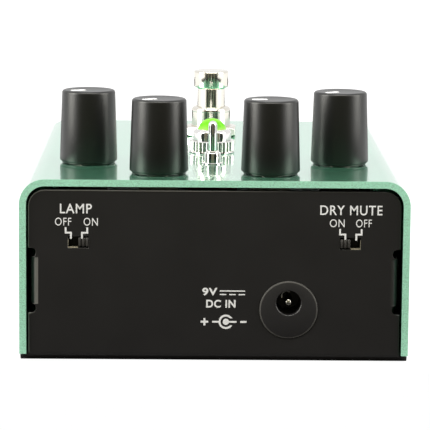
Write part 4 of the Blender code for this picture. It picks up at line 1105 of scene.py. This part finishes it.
class PEDAL_OT_printing(PieceOperator):
    """Prints the switch and socket legends on the rear panel"""

    bl_idname = "pedal.printing"
    bl_label = "Printing"

    def build(self, context):
        self.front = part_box("base_chassis")[0].y
        left, right = middle("lamp_switch_case"), middle("mute_switch_case")
        socket = middle("power_socket_pin")
        words = (  # in millimetres: place from the piece's middle, height and width; weight
            ("LAMP", left, -0.6, 6.65, 2.45, 8.0, 0.1),
            ("OFF", left, -3.78, 3.55, 2.0, 4.1, 0.0),
            ("ON", left, 3.12, 3.55, 2.0, 3.55, 0.0),
            ("DRY MUTE", right, 0.1, 6.65, 2.45, 15.6, 0.1),
            ("ON", right, -3.4, 3.6, 2.0, 3.7, 0.0),
            ("OFF", right, 3.3, 3.6, 2.0, 3.95, 0.0),
            ("9V", socket, -19.85, 1.75, 2.0, 3.8, 0.3),
            ("DC IN", socket, -17.05, -1.35, 2.05, 7.4, 0.3),
        )
        marks = [
            self.text(word, at.x + x * MM, at.z + z * MM, height * MM, width * MM, weight)
            for word, at, x, z, height, width, weight in words]
        for at, centre in ((left, -0.46 * MM), (right, 0.05 * MM)):
            for side in (-1, 1):
                marks.append(self.bracket(at.x + centre, at.z, side))
        marks += self.direct_current_sign(socket.x - 14.15 * MM, socket.z + 2.5 * MM)
        marks += self.polarity_sign(socket.x - 15.75 * MM, socket.z - 4.95 * MM)
        legend = merge("panel_legend", marks)
        dress(legend, "white_ink", "black_powder_coat", HOME)

    def text(self, word, x, z, height, width, weight):
        """Raised lettering of a height and a width, centred on x, standing on z."""
        bpy.ops.object.text_add()
        piece = bpy.context.object
        piece.data.body = word
        piece.data.offset = 0.1 * weight
        piece.data.space_character = 1.1
        piece.data.resolution_u = 6
        piece.data.extrude = 0.5
        select_only(piece)
        bpy.ops.object.convert(target="MESH")
        piece = bpy.context.object
        corners = [Vector(corner) for corner in piece.bound_box]
        low = Vector([min(c[i] for c in corners) for i in range(3)])
        high = Vector([max(c[i] for c in corners) for i in range(3)])
        size = high - low
        share = Vector((width / size.x, height / size.y, sizes().print_height / size.z))
        piece.data.transform(Matrix.Translation(-(low + high) / 2))
        piece.data.transform(Matrix.Diagonal((*share, 1)))
        place = (x, self.front, z + height / 2)
        settle(piece, place, TO_REAR)
        begin_edit(piece)
        bpy.ops.mesh.remove_doubles(threshold=0.0005 * MM)
        end_edit()
        return piece

    def bar(self, x, z, width, height):
        """A printed bar with its middle at x and z."""
        half = Vector((width / 2, sizes().print_height / 2, height / 2))
        centre = Vector((x, self.front, z))
        return slab("bar", centre - half, centre + half)

    def bracket(self, x, z, side):
        """A stepped line from a word down to one end of the window."""
        line, out, inner = 0.45 * MM, 2.7 * MM, 1.38 * MM
        top, step, foot = z + 2.9 * MM, z + 1.75 * MM, z + 0.45 * MM
        level = (top + step) / 2
        middle_x = x + side * (out + inner) / 2
        return carve(
            self.bar(x + side * out, level, line, top - step + line),
            self.bar(middle_x, step, out - inner + line, line),
            self.bar(x + side * inner, (step + foot) / 2, line, step - foot + line),
            operation="UNION")

    def direct_current_sign(self, x, z):
        """One long line over three dashes."""
        line, length = 0.3 * MM, 6.35 * MM
        marks = [self.bar(x, z + 0.45 * MM, length, line)]
        dash = length / 3.9
        for place in (-1, 0, 1):
            marks.append(self.bar(x + place * (length - dash) / 2, z - 0.45 * MM, dash, line))
        return marks

    def polarity_sign(self, x, z):
        """Plus, a line, the ring round the centre pin's dot, a line, minus."""
        line, thick = 0.45 * MM, 0.5 * MM
        plus = carve(
            self.bar(x - 5.4 * MM, z, 1.9 * MM, thick),
            self.bar(x - 5.4 * MM, z, thick, 1.9 * MM),
            operation="UNION")
        marks = [
            plus,
            self.bar(x - 2.65 * MM, z, 1.6 * MM, line),
            self.bar(x + 4.4 * MM, z, 1.6 * MM, thick),
        ]
        half = sizes().print_height / 2
        place = (x, self.front, z)
        dot = [(AXIS, -half), (0.8 * MM, -half), (0.8 * MM, half), (AXIS, half)]
        dot = lathe("dot", dot, place, TO_REAR, 32)
        lead = self.bar(x + 1.5 * MM, z, 2.4 * MM, line)
        marks.append(carve(dot, lead, operation="UNION"))
        outer, inner = 1.85 * MM, 1.35 * MM
        ring = [(inner, -half), (outer, -half), (outer, half), (inner, half)]
        ring = lathe("ring", ring, place, TO_REAR, 48, closed=True)
        gap = Vector((1.0 * MM, 1 * MM, 0.9 * MM))
        centre = Vector(place) + Vector((1.9 * MM, 0, 0))
        marks.append(carve(ring, slab("ring_gap", centre - gap, centre + gap)))
        return marks


# Sides


class PEDAL_OT_jacks(PieceOperator):
    """Turns the jacks' threaded bushings, washers and nuts, and their moulded cases"""

    bl_idname = "pedal.jacks"
    bl_label = "Phone jacks"

    def build(self, context):
        for name, side, turn in (("input", -1, TO_LEFT), ("output", 1, TO_RIGHT)):
            self.jack(name, side, turn)

    def jack(self, name, side, turn):
        low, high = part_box(name + "_jack")
        at = (low + high) / 2
        end = high.x if side > 0 else -low.x
        inner = -low.x if side > 0 else high.x
        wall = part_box("top_shell")[1].x
        place = (0, at.y, at.z)
        radius, bore = 4.6 * MM, 3.25 * MM
        case_end = wall - 2.05 * MM
        profile = [(bore, case_end + 0.05 * MM), (bore, end - 0.5 * MM)]
        profile += [(bore + 0.5 * MM, end - 0.05 * MM), (bore + 0.7 * MM, end)]
        profile += [(radius - 0.35 * MM, end), (radius - 0.1 * MM, end - 0.3 * MM)]
        profile += thread(radius, end - 0.45 * MM, wall - 1.5 * MM)
        profile += [(radius - 0.2 * MM, case_end + 0.05 * MM)]
        bush = lathe(name + "_bush", profile, place, turn, 96, closed=True)
        dress(bush, "bright_nickel", "bright_nickel", HOME)
        near, far = sorted((side * case_end, -side * inner))
        case = slab(name + "_case", (near, low.y, low.z), (far, high.y, high.z), 0.6 * MM, 3)
        carve(case, pin("case_bore", bore, 26.7 * MM, wall, place, turn))
        soften(case)
        dress(case, "black_plastic", "black_plastic", HOME, name + "_jack")
        self.nut(name, side, turn, radius, wall, place)

    def nut(self, name, side, turn, radius, wall, place):
        low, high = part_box(name + "_jack_washer")
        outer, thick = (high.z - low.z) / 2, high.x - low.x
        start = wall + 0.05 * MM
        profile = [(radius, start), (outer - 0.1 * MM, start), (outer, start + 0.1 * MM)]
        profile += [(outer, start + thick - 0.1 * MM), (outer - 0.1 * MM, start + thick)]
        profile += [(radius, start + thick)]
        washer = lathe(name + "_washer", profile, place, turn, 72, closed=True)
        dress(washer, "bright_nickel", "bright_nickel", HOME, name + "_jack_washer")
        low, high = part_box(name + "_jack_nut")
        nut = hex_nut(name + "_nut", high.z - low.z, high.x - low.x, radius - 0.05 * MM, 0)
        settle(nut, (place[0] + side * (start + thick + 0.03 * MM), place[1], place[2]), turn)
        dress(nut, "bright_nickel", "bright_nickel", HOME, name + "_jack_nut")


# Pieces kept from the CAD model


class PEDAL_OT_inside(PieceOperator):
    """Gives each CAD piece that still shows its finish"""

    bl_idname = "pedal.inside"
    bl_label = "Inner pieces"
    finishes = (
        ("pot_", "dull_metal"),
        ("toggle_case", "switch_red"),
        ("jewel_nut", "dull_metal"),
        ("indicator_lamp", "lamp_epoxy"),
        ("footswitch_case", "switch_blue"),
        ("footswitch_spring", "dull_metal"),
        ("main_circuit_board", "circuit_board"),
        ("battery_tray", "black_plastic"),
        ("battery_contact_block", "black_plastic"),
        ("battery_contact", "bright_nickel"),
        ("door_", "dull_metal"),
    )

    def build(self, context):
        for name, node in frame["nodes"].items():
            if node.hide_render:
                continue
            found = [finish for start, finish in self.finishes if name.startswith(start)]
            if not found:
                raise RuntimeError(f"no finish for {name}")
            node.data.materials.clear()
            node.data.materials.append(finish_named(found[0]))


# Stage


class PEDAL_OT_stage(PieceOperator):
    """Sets the pale floor, the soft lights and the camera"""

    bl_idname = "pedal.stage"
    bl_label = "Stage"
    eye = (-6.706 * MM, -697.83 * MM, 139.67 * MM)
    yaw, pitch, roll = 0.607, -8.991, 0.493  # degrees, from a level view along +Y
    lens = 215.55

    def build(self, context):
        self.floor()
        self.card("front_card", "card_brown", (0, -0.3, 0.22), (0.62, 0.44))
        self.card("foot_card", "card_black", (0, -0.183, 0.2 * MM), (0.6, 0.234), (0, 0, 0))
        self.card("under_card", "card_black", (0, 0, 0.2 * MM), (0.098, 0.131), (0, 0, 0))
        for side in (-1, 1):
            self.card("flag", "card_black", (side * 0.15, 0.245, 0.015), (0.1, 0.03))
        self.light("left_softbox", (-0.9, -0.25, 0.4), (0.5, 0.8), 12.0)
        self.light("right_softbox", (0.9, -0.25, 0.4), (0.5, 0.8), 8.0)
        self.light("top_softbox", (0, -0.45, 0.85), (0.9, 0.4), 9.0)
        world = bpy.data.worlds.new("studio")
        world.use_nodes = True
        world.node_tree.nodes["Background"].inputs["Color"].default_value = (1, 1, 1, 1)
        world.node_tree.nodes["Background"].inputs["Strength"].default_value = 1.02
        context.scene.world = world
        context.scene.view_settings.view_transform = "Standard"
        self.camera(context)

    def floor(self):
        bpy.ops.mesh.primitive_plane_add(size=8, location=(0, 0, -0.02 * MM))
        floor = bpy.context.object
        floor.name = "floor"
        floor.data.materials.append(finish_named("pale_floor"))

    def card(self, name, finish, place, size, turn=TO_REAR):
        """A dark card, upright or lying, for the reflections only: the camera doesn't see it."""
        bpy.ops.mesh.primitive_plane_add(size=1, location=place)
        card = bpy.context.object
        card.name = name
        card.scale = (*size, 1)
        card.rotation_euler = turn
        card.visible_camera = False
        card.data.materials.append(finish_named(finish))

    def light(self, name, place, size, power):
        lamp = bpy.data.lights.new(name, "AREA")
        lamp.shape = "RECTANGLE"
        lamp.size, lamp.size_y = size
        lamp.energy = power
        lamp.color = (1, 0.98, 0.9)
        light = bpy.data.objects.new(name, lamp)
        light.location = place
        light.rotation_euler = (-Vector(place)).to_track_quat("-Z", "Y").to_euler()
        light.visible_camera = False
        bpy.context.scene.collection.objects.link(light)

    def camera(self, context):
        data = bpy.data.cameras.new("camera")
        data.lens = self.lens
        camera = bpy.data.objects.new("camera", data)
        level = Matrix.Rotation(math.radians(90), 4, "X")
        turned = Matrix.Rotation(-math.radians(self.yaw), 4, "Z") @ level
        tilted = turned @ Matrix.Rotation(math.radians(self.pitch), 4, "X")
        rolled = tilted @ Matrix.Rotation(math.radians(self.roll), 4, "Z")
        camera.matrix_world = Matrix.Translation(self.eye) @ rolled
        context.scene.collection.objects.link(camera)
        context.scene.camera = camera


PIECES = (
    PEDAL_OT_shell,
    PEDAL_OT_base,
    PEDAL_OT_fixings,
    PEDAL_OT_knobs,
    PEDAL_OT_toggle,
    PEDAL_OT_jewel,
    PEDAL_OT_footswitch,
    PEDAL_OT_socket,
    PEDAL_OT_slides,
    PEDAL_OT_printing,
    PEDAL_OT_jacks,
    PEDAL_OT_inside,
    PEDAL_OT_stage,
)


class PEDAL_PT_panel(bpy.types.Panel):
    """The pedal's sizes, colours and pieces"""

    bl_idname = "PEDAL_PT_panel"
    bl_label = "Pedal"
    bl_space_type = "VIEW_3D"
    bl_region_type = "UI"
    bl_category = "Pedal"

    def draw(self, context):
        for group in (context.scene.pedal_sizes, context.scene.pedal_colours):
            box = self.layout.box()
            for label in group.bl_rna.properties.keys():
                if label not in ("rna_type", "name"):
                    box.prop(group, label)
        for piece in PIECES:
            self.layout.operator(piece.bl_idname)


CLASSES = (PedalSizes, PedalColours, *PIECES, PEDAL_PT_panel)


def register():
    for item in CLASSES:
        bpy.utils.register_class(item)
    bpy.types.Scene.pedal_sizes = bpy.props.PointerProperty(type=PedalSizes)
    bpy.types.Scene.pedal_colours = bpy.props.PointerProperty(type=PedalColours)


def unregister():
    del bpy.types.Scene.pedal_colours
    del bpy.types.Scene.pedal_sizes
    for item in reversed(CLASSES):
        bpy.utils.unregister_class(item)


def main():
    register()
    for piece in PIECES:
        group, name = piece.bl_idname.split(".")
        getattr(getattr(bpy.ops, group), name)()


if __name__ == "__main__":
    main()
